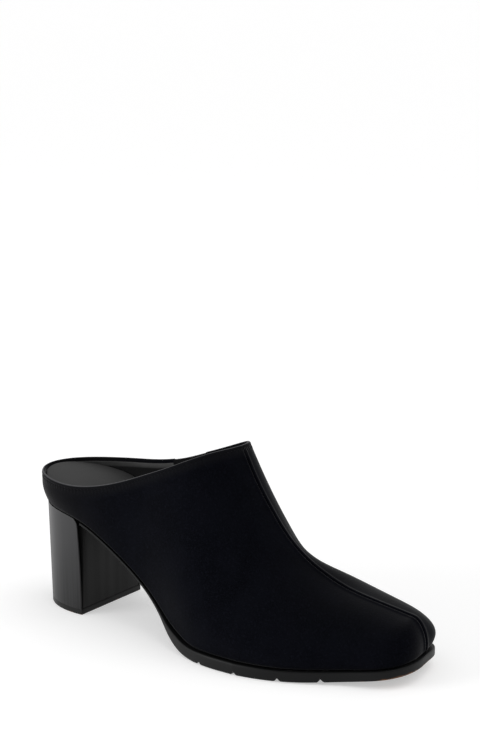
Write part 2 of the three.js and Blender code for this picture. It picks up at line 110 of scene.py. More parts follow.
# The middle of the toe stands back from the last's straight front
TOE_BACK = 2.4
TOE_BACK_FROM = 218
TOE_BACK_MIDDLE = 2.4
TOE_BACK_HALF = 11

SIDES = {"lateral": -1, "medial": 1}
MM = 0.001
TINY = 1e-9
QUARTER = math.pi / 2


def table(names, *rows):
    """The columns of a short table, by name."""
    return {name: np.array(column, float) for name, column in zip(names.split(), zip(*rows))}


# reach is 0 at the seat's half width, 1 at the ball's and 2 at the toe's
PLAN = table(
    "at lateral medial",
    (0, 0, 0),
    (0.16, 0.01, -0.02),
    (0.27, 0.06, -0.27),
    (0.36, 0.19, -0.43),
    (0.44, 0.46, -0.25),
    (0.52, 0.77, 0.3),
    (0.6, 0.96, 0.81),
    (0.66, 1, 0.99),
    (0.72, 1.08, 1.03),
    (0.8, 1.34, 1.23),
    (0.88, 1.72, 1.56),
    (0.94, 1.9, 1.8),
    (1, 2, 2),
)
# rise is a share of the seat's height, thick is 0 at the shank, 1 at the ball and 2 at the toe
SOLE = table(
    "at rise thick ledge",
    (0, 1, 0, 0.25),
    (0.08, 0.977, 0, 0.25),
    (0.16, 0.915, 0, 0.25),
    (0.22, 0.795, 0, 0.25),
    (0.28, 0.65, 0, 0.3),
    (0.34, 0.495, 0, 0.35),
    (0.39, 0.355, 0.05, 0.45),
    (0.42, 0.257, 0.2, 0.6),
    (0.45, 0.147, 0.6, 0.85),
    (0.48, 0.065, 0.95, 1),
    (0.52, 0.012, 1.08, 1),
    (0.58, 0, 1.02, 1),
    (0.66, 0, 1.1, 1),
    (0.8, 0, 1.45, 1),
    (1, 0, 2, 0.8),
)
# Height of the open edge, 0 at the band round the heel and 1 at the throat, by share of THROAT_AT
TOPLINE = table(
    "at lateral medial",
    (0, 0.04, 0.04),
    (0.15, 0, 0.04),
    (0.303, 0, 0.08),
    (0.398, 0.06, 0.13),
    (0.531, 0.22, 0.26),
    (0.663, 0.44, 0.46),
    (0.796, 0.68, 0.67),
    (0.91, 0.9, 0.87),
    (0.967, 0.98, 0.96),
    (1.005, 1, 1),
)
# ridge is 0 at the toe's top and 1 at the throat, square and swell shape each side of the section
SECTIONS = table(
    "at ridge lateral_square medial_square lateral_swell medial_swell widest",
    (0, 2.06, 2.2, 2.2, 0.85, 0.85, 0.09),
    (0.16, 2.02, 2.1, 2.2, 0.9, 1.1, 0.12),
    (0.26, 1.93, 1.95, 2.1, 0.7, 1.7, 0.2),
    (0.38, 1.71, 1.8, 1.95, 0.5, 2.1, 0.28),
    (0.47, 1.351, 1.72, 2.26, 0.5, 1.72, 0.27),
    (0.526, 0.994, 1.7, 2.1, 0.6, 1.2, 0.25),
    (0.562, 0.764, 1.7, 1.97, 0.65, 1.03, 0.25),
    (0.597, 0.585, 1.72, 1.76, 0.7, 0.9, 0.25),
    (0.642, 0.405, 1.78, 1.53, 0.8, 0.92, 0.25),
    (0.687, 0.281, 1.85, 1.69, 0.85, 0.78, 0.25),
    (0.735, 0.193, 1.95, 2.23, 0.8, 0.79, 0.27),
    (0.793, 0.118, 2.05, 2.86, 0.7, 0.67, 0.3),
    (0.855, 0.071, 2.15, 3.08, 0.6, 0.56, 0.3),
    (0.95, 0.013, 2.4, 2.8, 0.35, 1.1, 0.33),
    (1, -0.02, 2.5, 2.5, 0.1, 0.1, 0.35),
)
# How far the seam leans to the medial side, in millimetres, by share of the length
SEAM_LEAN = table(
    "at lean",
    (0.4, 0),
    (0.5, 0.1),
    (0.547, 0.45),
    (0.6, 1.1),
    (0.653, 0.84),
    (0.716, 0.28),
    (0.8, 0.13),
    (0.905, 0.56),
    (1, 0.9),
)


def column_curve(rows, name):
    """A natural cubic spline through one column of a table."""
    at, value = rows["at"], rows[name]
    count = len(at)
    step = np.diff(at)
    slope = np.diff(value) / step
    matrix = np.eye(count)
    right = np.zeros(count)
    for i in range(1, count - 1):
        matrix[i, i - 1 : i + 2] = step[i - 1], 2 * (step[i - 1] + step[i]), step[i]
        right[i] = 6 * (slope[i] - slope[i - 1])
    bend = np.linalg.solve(matrix, right)

    def height(place):
        i = np.clip(np.searchsorted(at, place) - 1, 0, count - 2)
        after = (place - at[i]) / step[i]
        before = 1 - after
        curved = (before**3 - before) * bend[i] + (after**3 - after) * bend[i + 1]
        return before * value[i] + after * value[i + 1] + curved * step[i] ** 2 / 6

    return height


def table_curves(rows):
    """A curve for each column of a table but the first."""
    return {name: column_curve(rows, name) for name in rows if name != "at"}


plan = table_curves(PLAN)
sole = table_curves(SOLE)
topline = table_curves(TOPLINE)
sections = table_curves(SECTIONS)


def lerp(first, second, share):
    return first + (second - first) * share


def three_way(step, first, second, third):
    """From the first value at 0 over the second at 1 to the third at 2."""
    return np.where(step < 1, lerp(first, second, step), lerp(second, third, step - 1))


def round_parts(x):
    """How far x is into the round of the heel and into that of the toe, each from 0 to 1."""
    return np.clip(1 - x / SEAT_ROUND, 0, 1), np.clip(1 - (LAST_LENGTH - x) / TOE_ROUND, 0, 1)


def half_width(side, x):
    """From the middle line to one side of the last's bottom, at x."""
    ball = BALL_LATERAL_SHARE if side == "lateral" else 1 - BALL_LATERAL_SHARE
    toe = TOE_LATERAL_SHARE if side == "lateral" else 1 - TOE_LATERAL_SHARE
    reach = plan[side](x / LAST_LENGTH)
    width = three_way(reach, SEAT_WIDTH / 2, BALL_WIDTH * ball, TOE_WIDTH * toe)
    heel_part, toe_part = round_parts(x)
    square = TOE_SQUARENESS[side]
    return width * np.sqrt(1 - heel_part**2) * (1 - toe_part**square) ** (1 / square)


def underside_height(x):
    """The sole's underside above the floor."""
    rise = sole["rise"](x / LAST_LENGTH) * (HEEL_HEIGHT - SHANK_THICKNESS)
    lifted = np.where(x < TREAD_START, np.maximum(rise, 0), 0)
    sprung = np.clip((x - SPRING_START) / (LAST_LENGTH - SPRING_START), 0, 2)
    return lifted + TOE_SPRING * sprung**SPRING_CURVE


def seat_height(x):
    """The last's bottom edge above the floor."""
    thick = np.maximum(0, sole["thick"](x / LAST_LENGTH))
    return underside_height(x) + three_way(thick, SHANK_THICKNESS, BALL_THICKNESS, TOE_THICKNESS)


def edge_point(side, x):
    """A point of the last's bottom edge."""
    return np.stack([x, SIDES[side] * half_width(side, x), seat_height(x)], -1)


def unit(vectors):
    return vectors / np.maximum(np.linalg.norm(vectors, axis=-1, keepdims=True), 1e-12)


SLOPE_STEP = 0.05


def outward(side, x):
    """Straight out from the bottom's edge, in plan."""
    step = np.clip(np.minimum(x / 2, (LAST_LENGTH - x) / 2), TINY, SLOPE_STEP)
    along = edge_point(side, x + step) - edge_point(side, x - step)
    out = np.stack([-along[..., 1] * SIDES[side], along[..., 0] * SIDES[side], 0 * x], -1)
    out = np.where((x <= TINY)[..., None], [-1.0, 0, 0], out)
    out = np.where((x >= LAST_LENGTH - TINY)[..., None], [1.0, 0, 0], out)
    return unit(out)


def make_rib(side, x):
    """A rib of the last at x, from the bottom's edge to the ridge over the middle."""
    heel_part, toe_part = round_parts(x)
    ridge_x = x + TOE_TOP_INSET * (heel_part**2 - toe_part**2)
    ridge_z = lerp(TOE_TOP_HEIGHT, THROAT_HEIGHT, sections["ridge"](ridge_x / LAST_LENGTH))
    at = x / LAST_LENGTH
    return {
        "foot": edge_point(side, x),
        "out": outward(side, x),
        "ridge": np.stack([ridge_x, 0 * x, ridge_z], -1),
        "square": sections[f"{side}_square"](at),
        "swell": FULLNESS * sections[f"{side}_swell"](at),
        "widest": sections["widest"](at),
        "lean": np.interp(at, SEAM_LEAN["at"], SEAM_LEAN["lean"]),
    }


def swell_share(up, widest):
    """How much of a rib's swell there is at a height, 1 where the section is widest."""
    rising = np.sin(up / widest * QUARTER)
    falling = np.cos((up - widest) / (1 - widest) * QUARTER) ** 2
    return np.where(up < widest, rising, falling)


def on_rib(rib, turn):
    """The point of a rib at a turn, which runs from 0 at the edge to a quarter turn at the ridge."""
    across = np.clip(np.cos(turn), 0, 1) ** (2 / rib["square"])
    up = np.sin(turn) ** (2 / rib["square"])
    swell = rib["swell"] * swell_share(up, rib["widest"])
    point = lerp(rib["ridge"], rib["foot"], across[..., None]) + rib["out"] * swell[..., None]
    point[..., 2] = lerp(rib["foot"][..., 2], rib["ridge"][..., 2], up)
    point[..., 1] += rib["lean"] * (turn / QUARTER) ** 2
    return point


def turn_at_height(rib, height):
    """The turn at which a rib reaches a height."""
    foot, ridge = rib["foot"][..., 2], rib["ridge"][..., 2]
    share = np.clip((height - foot) / (ridge - foot), 0, 1)
    return np.arcsin(share ** (rib["square"] / 2))


def topline_height(side, x):
    """Height of the open edge above the floor."""
    return lerp(HEEL_HEIGHT + BAND_HEIGHT, THROAT_HEIGHT, topline[side](x / THROAT_AT))


def top_station(x):
    """Where the mesh line that starts at x on the bottom edge ends at the top."""
    away = (x - THROAT_AT) / THROAT_RUN
    crowded = THROAT_AT + THROAT_RUN * np.sign(away) * (2 * away**2 - np.abs(away) ** 3)
    return np.where(np.abs(away) >= 1, x, crowded)


LINE_SAMPLES = 161


def mesh_lines(side, stations, distances):
    """Points along the mesh lines from the bottom edge up, and their distances from it.
    distances(totals) gives the rows' places."""
    shares = np.linspace(0, 1, LINE_SAMPLES)
    top_x = top_station(stations)
    edge_turn = turn_at_height(make_rib(side, top_x), topline_height(side, top_x))
    top_turn = np.where(top_x < THROAT_AT - TINY, edge_turn, QUARTER)

    def point_at(share):
        rib = make_rib(side, lerp(stations[:, None], top_x[:, None], share))
        return on_rib(rib, top_turn[:, None] * share)

    points = point_at(np.broadcast_to(shares, (len(stations), len(shares))))
    steps = np.linalg.norm(np.diff(points, axis=1), axis=-1)
    lengths = np.concatenate([np.zeros((len(stations), 1)), np.cumsum(steps, 1)], 1)
    wanted = distances(lengths[:, -1])
    found = [np.interp(row, length, shares) for row, length in zip(wanted, lengths)]
    return point_at(np.array(found)), wanted


# Distances from the seam or the open edge, and from the bottom edge, where rows lie close together,
# the most of a mesh line that each may take, and the number of rows between them
FINE_TOP = np.array(
    [14, 11, 8.6, 6.8, 5.5, 4.5, 3.7, 3.05, 2.5, 2.05, 1.7, 1.4, 1.1, 0.85, 0.62, 0.4, 0.2, 0]
)
FINE_FOOT = np.array([0, 0.3, 0.65, 1.1, 1.7, 2.5])
TOP_SHARE = 0.55
FOOT_SHARE = 0.25
FINE_MIDDLE = 20
COARSE_TOP = np.array([9, 6.5, 5, 4, 3.2, 2.5, 1.9, 1.4, 0.9, 0.4, 0])
COARSE_MIDDLE = 19
COARSE_ROWS = COARSE_MIDDLE + len(COARSE_TOP)


def fine_rows(totals):
    """Rows up the outer cloth: close together at the feather edge and at the top."""
    top = FINE_TOP * np.minimum(1, TOP_SHARE * totals[:, None] / FINE_TOP[0])
    foot = FINE_FOOT * np.minimum(1, FOOT_SHARE * totals[:, None] / FINE_FOOT[-1])
    middle_to = totals[:, None] - top[:, :1]
    middle = lerp(foot[:, -1:], middle_to, np.linspace(0, 1, FINE_MIDDLE + 2)[1:-1])
    return np.concatenate([foot, middle, totals[:, None] - top], 1)


def coarse_rows(totals):
    """Rows up a plainer sheet: close together at the top alone."""
    middle = np.linspace(0, 1, COARSE_MIDDLE + 1)[:-1] * (totals[:, None] - COARSE_TOP[0])
    return np.concatenate([middle, totals[:, None] - COARSE_TOP], 1)


def last_stations(heel, waist, forepart, toe, front):
    """Stations along the last: numbers of them round the heel, along the waist and forepart and round
    the toe, and half widths of the ones that cross the toe's front."""
    toe_start = LAST_LENGTH - TOE_ROUND
    square = sum(TOE_SQUARENESS.values()) / 2
    turns = np.linspace(0, QUARTER, heel, endpoint=False)
    share = np.array(front) / (TOE_WIDTH / 2)
    last_turn = math.acos(share[0] ** (square / 2))
    toe_turns = np.linspace(0, last_turn, toe, endpoint=False)
    return np.concatenate(
        [
            SEAT_ROUND * (1 - np.cos(turns)),
            np.linspace(SEAT_ROUND, THROAT_AT, waist, endpoint=False),
            np.linspace(THROAT_AT, toe_start, forepart, endpoint=False),
            toe_start + TOE_ROUND * np.sin(toe_turns) ** (2 / square),
            toe_start + TOE_ROUND * (1 - share**square) ** (1 / square),
        ]
    )


# The seam's line is looked for from this far behind the throat
SEAM_REACH = 8


def upper_sheet(stations, distances):
    """The last's skin from the bottom edge to the open edge and the seam, as one open sheet."""
    sides = {side: mesh_lines(side, stations, distances) for side in SIDES}
    count, rows = sides["lateral"][0].shape[:2]
    closed = stations >= THROAT_AT - TINY
    near = np.arange(count * rows).reshape(count, rows)
    far = near + count * rows
    far[[0, -1]] = near[[0, -1]]
    far[closed, -1] = near[closed, -1]
    points = np.concatenate([sides[side][0].reshape(-1, 3) for side in SIDES])
    up = np.concatenate([sides[side][1].reshape(-1) for side in SIDES])
    seam = np.full(points.shape[0], np.inf)
    ahead = np.where(points[:, 0] > THROAT_AT - SEAM_REACH)[0]
    seam_line = points[np.concatenate([near[closed, -1], near[-1, ::-1]])]
    seam[ahead] = near_line(seam_line, points[ahead])[0]
    quads = np.concatenate(
        [
            np.stack([near[:-1, :-1], near[1:, :-1], near[1:, 1:], near[:-1, 1:]], -1).reshape(-1, 4),
            np.stack([far[:-1, :-1], far[:-1, 1:], far[1:, 1:], far[1:, :-1]], -1).reshape(-1, 4),
        ]
    )
    throat = int(np.argmax(closed))
    bottom = np.concatenate([near[:, 0], far[1:-1, 0][::-1]])
    top = np.concatenate([near[: throat + 1, -1], far[1:throat, -1][::-1]])
    first, second, third, fourth = (points[quads[:, corner]] for corner in range(4))
    normal = np.cross(third - first, fourth - second)
    normals = np.zeros_like(points)
    for corner in range(4):
        np.add.at(normals, quads[:, corner], normal)
    return {
        "points": points,
        "normals": unit(normals),
        "quads": quads,
        "up": up,
        "seam": seam,
        "bottom": bottom,
        "top": top,
    }


def edge_lift(sheet):
    """At each point of the open edge, the direction that carries the sheet on past it."""
    loop = sheet["top"]
    points = sheet["points"][loop]
    along = unit(np.roll(points, -1, 0) - np.roll(points, 1, 0))
    lift = unit(np.cross(sheet["normals"][loop], along))
    return lift if lift[:, 2].mean() > 0 else -lift


def near_edge(sheet, points):
    """Distance of each point to the open edge, and the run along that edge to the nearest place."""
    loop = sheet["points"][sheet["top"]]
    return near_line(np.concatenate([loop, loop[:1]]), points)


def near_line(line, points):
    """Distance of each point to a line, and the run along the line to the nearest place."""
    steps = np.linalg.norm(np.diff(line, axis=0), axis=1)
    runs = np.concatenate([[0], np.cumsum(steps)[:-1]])
    distance = np.full(len(points), 1e9)
    run = np.zeros(len(points))
    for a, b, length, start in zip(line[:-1], line[1:], steps, runs):
        if length < TINY:
            continue
        share = np.clip((points - a) @ (b - a) / length**2, 0, 1)
        away = np.linalg.norm(points - (a + share[:, None] * (b - a)), axis=1)
        closer = away < distance
        distance[closer] = away[closer]
        run[closer] = start + share[closer] * length
    return distance, run


def thickened(sheet, outer, inner, rings_over):
    """A closed wall from a sheet. outer and inner are offsets along its normals, and its open edge
    is rounded over by a number of rings."""
    points, normals = sheet["points"], sheet["normals"]
    count = len(points)
    layers = [points + normals * outer[:, None], points + normals * inner[:, None]]
    quads = [sheet["quads"], sheet["quads"][:, ::-1] + count]
    loop = sheet["bottom"]
    after = np.roll(loop, -1)
    quads.append(np.stack([after, loop, loop + count, after + count], -1))
    loop = sheet["top"]
    lift = edge_lift(sheet)
    middle = (layers[0][loop] + layers[1][loop]) / 2
    half = (layers[0][loop] - layers[1][loop]) / 2
    radius = np.linalg.norm(half, axis=1)[:, None]
    rings = [loop]
    offset = 2 * count
    for k in range(1, rings_over + 1):
        turn = math.pi * k / (rings_over + 1)
        layers.append(middle + half * math.cos(turn) + lift * radius * math.sin(turn))
        rings.append(offset + np.arange(len(loop)))
        offset += len(loop)
    rings.append(loop + count)
    for low, high in zip(rings[:-1], rings[1:]):
        quads.append(np.stack([low, np.roll(low, -1), np.roll(high, -1), high], -1))
    return np.concatenate(layers), np.concatenate(quads)


# Where the frame puts the last: its heel's breast and middle line are known in both
heel_low, heel_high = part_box("heel")
TO_FRAME = np.array([heel_high.x / MM - BREAST_AT, (heel_low.y + heel_high.y) / 2 / MM, 0.0])


def to_frame(points):
    """Places in the frame, in metres. The middle of the toe stands back a little on the way."""
    points = np.array(points, float)
    share = np.clip((points[..., 0] - TOE_BACK_FROM) / (LAST_LENGTH - TOE_BACK_FROM), 0, 1)
    near = np.exp(-(((points[..., 1] - TOE_BACK_MIDDLE) / TOE_BACK_HALF) ** 2))
    points[..., 0] -= TOE_BACK * share**2 * (3 - 2 * share) * near
    return (points + TO_FRAME) * MM


def add_object(name, data):
    """A new object in the scene."""
    added = bpy.data.objects.new(name, data)
    bpy.context.scene.collection.objects.link(added)
    return added


def make_mesh(name, points, faces):
    """A piece from points in millimetres and its faces. Unused points are left out, and the indices
    of the used ones come back with it."""
    faces = np.asarray(faces)
    used, flat = np.unique(faces.ravel(), return_inverse=True)
    mesh = bpy.data.meshes.new(name)
    mesh.from_pydata(to_frame(points)[used].tolist(), [], flat.reshape(faces.shape).tolist())
    mesh.validate()
    return add_object(name, mesh), used


def mesh_places(piece):
    """The points of a piece, in metres."""
    return np.array([vert.co for vert in piece.data.vertices])


def edited(mesh, change):
    """Runs a change on the editable form of a mesh."""
    form = bmesh.new()
    form.from_mesh(mesh)
    change(form)
    form.to_mesh(mesh)
    form.free()


def smooth(piece, angle=math.radians(40)):
    """Smooth shading, with edges sharper than the angle kept crisp."""
    piece.data.shade_smooth()
    piece.data.set_sharp_from_angle(angle=angle)


# In metres: points closer than the first are merged, and faces thinner than the second go
DOUBLES = 2e-6
SLIVERS = 1e-6


def tidy_faces(piece):
    """Merges doubles, then turns every face outwards."""

    def change(form):
        bmesh.ops.remove_doubles(form, verts=form.verts, dist=DOUBLES)
        bmesh.ops.dissolve_degenerate(form, edges=form.edges, dist=SLIVERS)
        bmesh.ops.recalc_face_normals(form, faces=form.faces)

    edited(piece.data, change)


def point_values(piece, name, values):
    """Stores a number, or a vector of three, at each point."""
    values = np.asarray(values, np.float32)
    kind = "FLOAT_VECTOR" if values.ndim == 2 else "FLOAT"
    field = "vector" if values.ndim == 2 else "value"
    attribute = piece.data.attributes.new(name, kind, "POINT")
    attribute.data.foreach_set(field, values.ravel())


def finish_piece(piece, material, slot, *nodes):
    """Gives a piece its material, tells the frame what it rides on, and hides the parts that it stands
    for.
    """
    if material is not None:
        piece.data.materials.clear()
        piece.data.materials.append(material)
    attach(piece, "root")
    if nodes:
        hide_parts(*nodes)


def lofted(name, loops, whole_ends=False):
    """A closed solid from loops that run forward on the lateral side and back on the medial side.
    whole_ends closes each end with one face, cut into triangles, for outlines with inward turns."""
    size = len(loops[0])
    points = np.concatenate(loops)
    faces = []
    for j in range(len(loops) - 1):
        low = j * size + np.arange(size)
        high = low + size
        faces.append(np.stack([low, np.roll(low, -1), np.roll(high, -1), high], -1))
    i = np.arange(size // 2 - 1)
    top = (len(loops) - 1) * size
    if not whole_ends:
        faces.append(np.stack([size - 1 - i, size - 2 - i, i + 1, i], -1))
        faces.append(np.stack([top + i, top + i + 1, top + size - 2 - i, top + size - 1 - i], -1))
    piece, _ = make_mesh(name, points, np.concatenate(faces))

    def close_ends(form):
        form.verts.ensure_lookup_table()
        ends = [form.faces.new(form.verts[first : first + size]) for first in (0, top)]
        bmesh.ops.triangulate(form, faces=ends, ngon_method="BEAUTY")

    if whole_ends:
        edited(piece.data, close_ends)
    tidy_faces(piece)
    return piece


def side_loop(xs, point_at):
    """A loop from the points of both sides at the same stations."""
    return np.concatenate([point_at("lateral", xs), point_at("medial", xs)[::-1]])


# Node trees


class Tree:
    """A short way to add nodes and links to a node tree."""

    def __init__(self, tree):
        self.tree = tree
        tree.nodes.clear()

    def add(self, kind, inputs=None, **settings):
        """A node with its settings. Each input is a constant, or the socket that feeds it."""
        node = self.tree.nodes.new(kind)
        for name, value in settings.items():
            setattr(node, name, value)
        for name, value in (inputs or {}).items():
            if isinstance(value, bpy.types.NodeSocket):
                self.tree.links.new(value, node.inputs[name])
            else:
                node.inputs[name].default_value = value
        return node

    def math(self, operation, *values):
        return self.add("ShaderNodeMath", dict(enumerate(values)), operation=operation).outputs[0]

    def times(self, *values):
        product = values[0]
        for value in values[1:]:
            product = self.math("MULTIPLY", product, value)
        return product

    def axis(self, vector, name):
        return self.add("ShaderNodeSeparateXYZ", {"Vector": vector}).outputs[name]

    def ramp(self, value, low, high, to_low=0.0, to_high=1.0):
        """Eases from to_low to to_high while the value runs from low to high."""
        inputs = {"Value": value, "From Min": low, "From Max": high, "To Min": to_low, "To Max": to_high}
        return self.add("ShaderNodeMapRange", inputs, interpolation_type="SMOOTHSTEP").outputs["Result"]

    def mix(self, share, first, second):
        """A mix of two colours, which are the node's inputs 6 and 7."""
        inputs = {0: share, 6: first, 7: second}
        return self.add("ShaderNodeMix", inputs, data_type="RGBA").outputs[2]

    def mottled(self, value, low, high, color, dark, light):
        """A colour that goes from dark to light times itself while the value runs from low to high."""
        return self.mix(self.ramp(value, low, high), rgba(color, dark), rgba(color, light))

    def noise(self, place, scale, detail=3.0, roughness=0.55):
        values = {"Vector": place, "Scale": scale, "Detail": detail, "Roughness": roughness}
        return self.add("ShaderNodeTexNoise", values).outputs["Fac"]

    def stretched(self, place, scale):
        return self.add("ShaderNodeMapping", {"Vector": place, "Scale": scale}).outputs["Vector"]

    def bump(self, height, strength, distance, normal=None):
        values = {"Height": height, "Strength": strength, "Distance": distance}
        if normal is not None:
            values["Normal"] = normal
        return self.add("ShaderNodeBump", values).outputs["Normal"]

    def attribute(self, name):
        """A number stored on the points, in a material."""
        return self.add("ShaderNodeAttribute", attribute_name=name).outputs["Fac"]

    def stored(self, name, kind):
        """A value stored on the points, in a Geometry Nodes tree."""
        return self.add("GeometryNodeInputNamedAttribute", {"Name": name}, data_type=kind).outputs[0]


def new_material(name):
    """A material, its tree and the piece's own coordinates."""
    material = bpy.data.materials.new(name)
    material.use_nodes = True
    tree = Tree(material.node_tree)
    place = tree.add("ShaderNodeTexCoord").outputs["Object"]
    return material, tree, place


def surface(tree, color, roughness, normal, **inputs):
    """The shader of a material. inputs are constant values on its own sockets."""
    values = {"Base Color": color, "Roughness": roughness, "Normal": normal}
    for name, value in inputs.items():
        values[name.replace("_", " ")] = value
    shader = tree.add("ShaderNodeBsdfPrincipled", values)
    tree.add("ShaderNodeOutputMaterial", {"Surface": shader.outputs[0]})


def rgba(color, factor=1.0):
    """A colour times a factor, with its alpha."""
    return (*(c * factor for c in color), 1.0)


def cloth_material(finish):
    """Matte stretch cloth with a fine nap, puckered at the stitches along the open edge. It is painted
    paler round the heel for sheen, and near the open edge and on its crest for highlights.
    """
    material, tree, place = new_material("black_stretch_cloth")
    nap = tree.noise(place, 2600, 2.0, 0.7)
    tufts = tree.noise(place, 950, 2.0, 0.6)
    brushed = tree.noise(tree.stretched(place, (1.0, 1.0, 0.45)), 120, 4.0, 0.6)
    cloud = tree.noise(place, 45, 4.0, 0.6)
    away = tree.attribute("edge_away")
    shade = tree.mottled(cloud, 0.38, 0.62, finish.cloth, 0.5, 1.05)
    paler = [
        (tree.ramp(nap, 0.35, 0.7), rgba(finish.cloth, 1.7)),
        (tree.ramp(tufts, 0.5, 0.75, 0.0, 0.6), rgba(finish.cloth, 2.6)),
        # painted sheen: paler round the heel, where the cloth is seen at a grazing angle
        (tree.ramp(tree.axis(place, "X"), -0.05, -0.115, 0.0, 0.8), rgba(finish.heel_nap)),
        # painted highlight near the open edge, where the rolled edge faces up to the light
        (tree.times(tree.ramp(away, 6.5, 1.5), 0.6), rgba(finish.edge_nap)),
        # painted highlight on the crest of the turned edge
        (tree.times(tree.attribute("crest"), 0.9), rgba(finish.crest)),
    ]
    for share, color in paler:
        shade = tree.mix(share, shade, color)
    turns = tree.times(tree.attribute("edge_run"), 2 * math.pi / finish.pucker_pitch)
    near = tree.times(tree.ramp(away, 0.7, 1.3), tree.ramp(away, 4.2, 1.8))
    uneven = tree.ramp(tree.noise(place, 60, 2.0), 0.35, 0.65, 0.35, 1.0)
    pucker = tree.times(tree.math("SINE", turns), near, uneven)
    normal = tree.bump(pucker, 0.45, 0.0003)
    normal = tree.bump(brushed, 0.25, 0.0003, normal)
    normal = tree.bump(tufts, 0.35, 0.0002, normal)
    normal = tree.bump(nap, 0.5, 0.00008, normal)
    sheen = {"Sheen_Weight": finish.cloth_sheen, "Sheen_Roughness": 0.3, "Sheen_Tint": rgba((1, 1, 1))}
    surface(tree, shade, 0.92, normal, Specular_IOR_Level=0.012, **sheen)
    return material


def lining_material(finish, name="grey_lining_leather", faced=False):
    """Soft dark grey leather with a fine pebble grain. Where faced, the wall below a strip along the open
    edge
    is painted much darker and made rougher: painted shade inside the collar."""
    material, tree, place = new_material(name)
    cells = tree.add("ShaderNodeTexVoronoi", {"Vector": place, "Scale": 1500.0, "Randomness": 1.0})
    grain = cells.outputs["Distance"]
    cloud = tree.noise(place, 45, 3.0)
    shade = tree.mottled(cloud, 0.3, 0.7, finish.lining, 0.9, 1.1)
    shade = tree.mix(tree.ramp(grain, 0.0, 0.35, 0.35, 0.0), shade, rgba(finish.lining, 0.7))
    roughness = tree.ramp(cloud, 0.2, 0.8, 0.5, 0.62)
    if faced:
        # painted shade on the lining wall below the strip along the open edge
        below = tree.ramp(tree.attribute("edge_away"), finish.facing - 0.5, finish.facing + 0.7)
        shade = tree.mix(below, shade, rgba(finish.painted_wall_shade))
        roughness = tree.math("ADD", roughness, tree.times(below, 0.25))
    normal = tree.bump(grain, 0.35, 0.00012)
    normal = tree.bump(tree.noise(place, 320, 3.0), 0.2, 0.0002, normal)
    surface(tree, shade, roughness, normal, Specular_IOR_Level=0.2)
    return material


ELASTIC_THREAD = 0.55  # Pitch of the threads that cross the elastic's ribs, in millimetres


def elastic_material(finish):
    """Black elastic webbing: fine threads that cross the ribs."""
    material, tree, place = new_material("black_elastic_webbing")
    threads = tree.math("SINE", tree.times(tree.attribute("down"), 2 * math.pi / ELASTIC_THREAD))
    fuzz = tree.noise(place, 3200, 2.0, 0.7)
    shade = tree.mottled(fuzz, 0.3, 0.75, finish.elastic, 0.8, 1.6)
    normal = tree.bump(threads, 0.6, 0.00015)
    normal = tree.bump(fuzz, 0.4, 0.0001, normal)
    surface(tree, shade, 0.8, normal, Specular_IOR_Level=0.05, Sheen_Weight=0.03, Sheen_Roughness=0.5)
    return material


def rubber_material(name, color, roughness, dust):
    """Moulded rubber: faintly mottled, fine pits, warm dust where it touches the floor."""
    material, tree, place = new_material(name)
    cloud = tree.noise(place, 70, 4.0)
    pits = tree.noise(place, 1700, 2.0, 0.6)
    shade = tree.mottled(cloud, 0.3, 0.7, color, 0.88, 1.12)
    scuffs = tree.ramp(tree.noise(place, 260, 3.0), 0.3, 0.7, -0.3, 0.2)
    ragged = tree.math("ADD", tree.attribute("wear"), scuffs)
    shade = tree.mix(tree.ramp(ragged, 0.35, 0.9, 0.0, 0.75), shade, rgba(dust))
    rough = tree.ramp(cloud, 0.25, 0.75, roughness - 0.06, roughness + 0.08)
    normal = tree.bump(pits, 0.3, 0.0001)
    normal = tree.bump(cloud, 0.12, 0.0006, normal)
    surface(tree, shade, rough, normal, Specular_IOR_Level=0.15)
    return material


def heel_material(finish):
    """Lacquered heel cover with fine upright streaks; its flat breast is duller. The cover is painted
    much paler than the breast and paler towards the top: painted reflection of the studio light.
    """
    material, tree, place = new_material("black_heel_lacquer")
    streak = tree.noise(tree.stretched(place, (1.0, 1.0, 0.02)), 900, 3.0, 0.6)
    broad = tree.noise(tree.stretched(place, (1.0, 1.0, 0.05)), 160, 2.0, 0.5)
    breast = tree.attribute("breast")
    # Painted reflection: the cover's colour grows from 3 to 15 times the heel colour towards the top, and
    # its streaks are 14 times it
    glow = tree.mottled(tree.axis(place, "Z"), 0.0, 0.055, finish.heel, 3, 15)
    shade = tree.mix(tree.ramp(streak, 0.3, 0.75), glow, rgba(finish.heel, 14))
    shade = tree.mix(0.5, shade, glow)
    shade = tree.mix(breast, shade, rgba(finish.heel))
    rough = tree.ramp(broad, 0.3, 0.7, 0.34, 0.44)
    rough = tree.math("ADD", rough, tree.times(breast, 0.22))
    normal = tree.bump(streak, 0.1, 0.00006)
    normal = tree.bump(tree.noise(place, 60, 2.0), 0.08, 0.0008, normal)
    surface(tree, shade, rough, normal, Specular_IOR_Level=0.2)
    return material


def thread_material(finish):
    """Black sewing thread, twisted."""
    material, tree, place = new_material("black_thread")
    twist = tree.noise(place, 5200, 2.0)
    shade = tree.mottled(twist, 0.3, 0.7, finish.thread, 0.8, 1.4)
    normal = tree.bump(twist, 0.4, 0.00006)
    surface(tree, shade, 0.55, normal, Specular_IOR_Level=0.1)
    return material


def floor_material(finish):
    """Pale studio paper."""
    material, tree, place = new_material("pale_studio_floor")
    grain = tree.noise(place, 700, 2.0)
    shade = tree.mottled(grain, 0.3, 0.7, finish.floor, 0.995, 1.0)
    glow = {"Emission_Color": rgba((1, 1, 1)), "Emission_Strength": finish.floor_glow}
    surface(tree, shade, 0.9, tree.bump(grain, 0.03, 0.0001), Specular_IOR_Level=0.1, **glow)
    return material


# Geometry Nodes


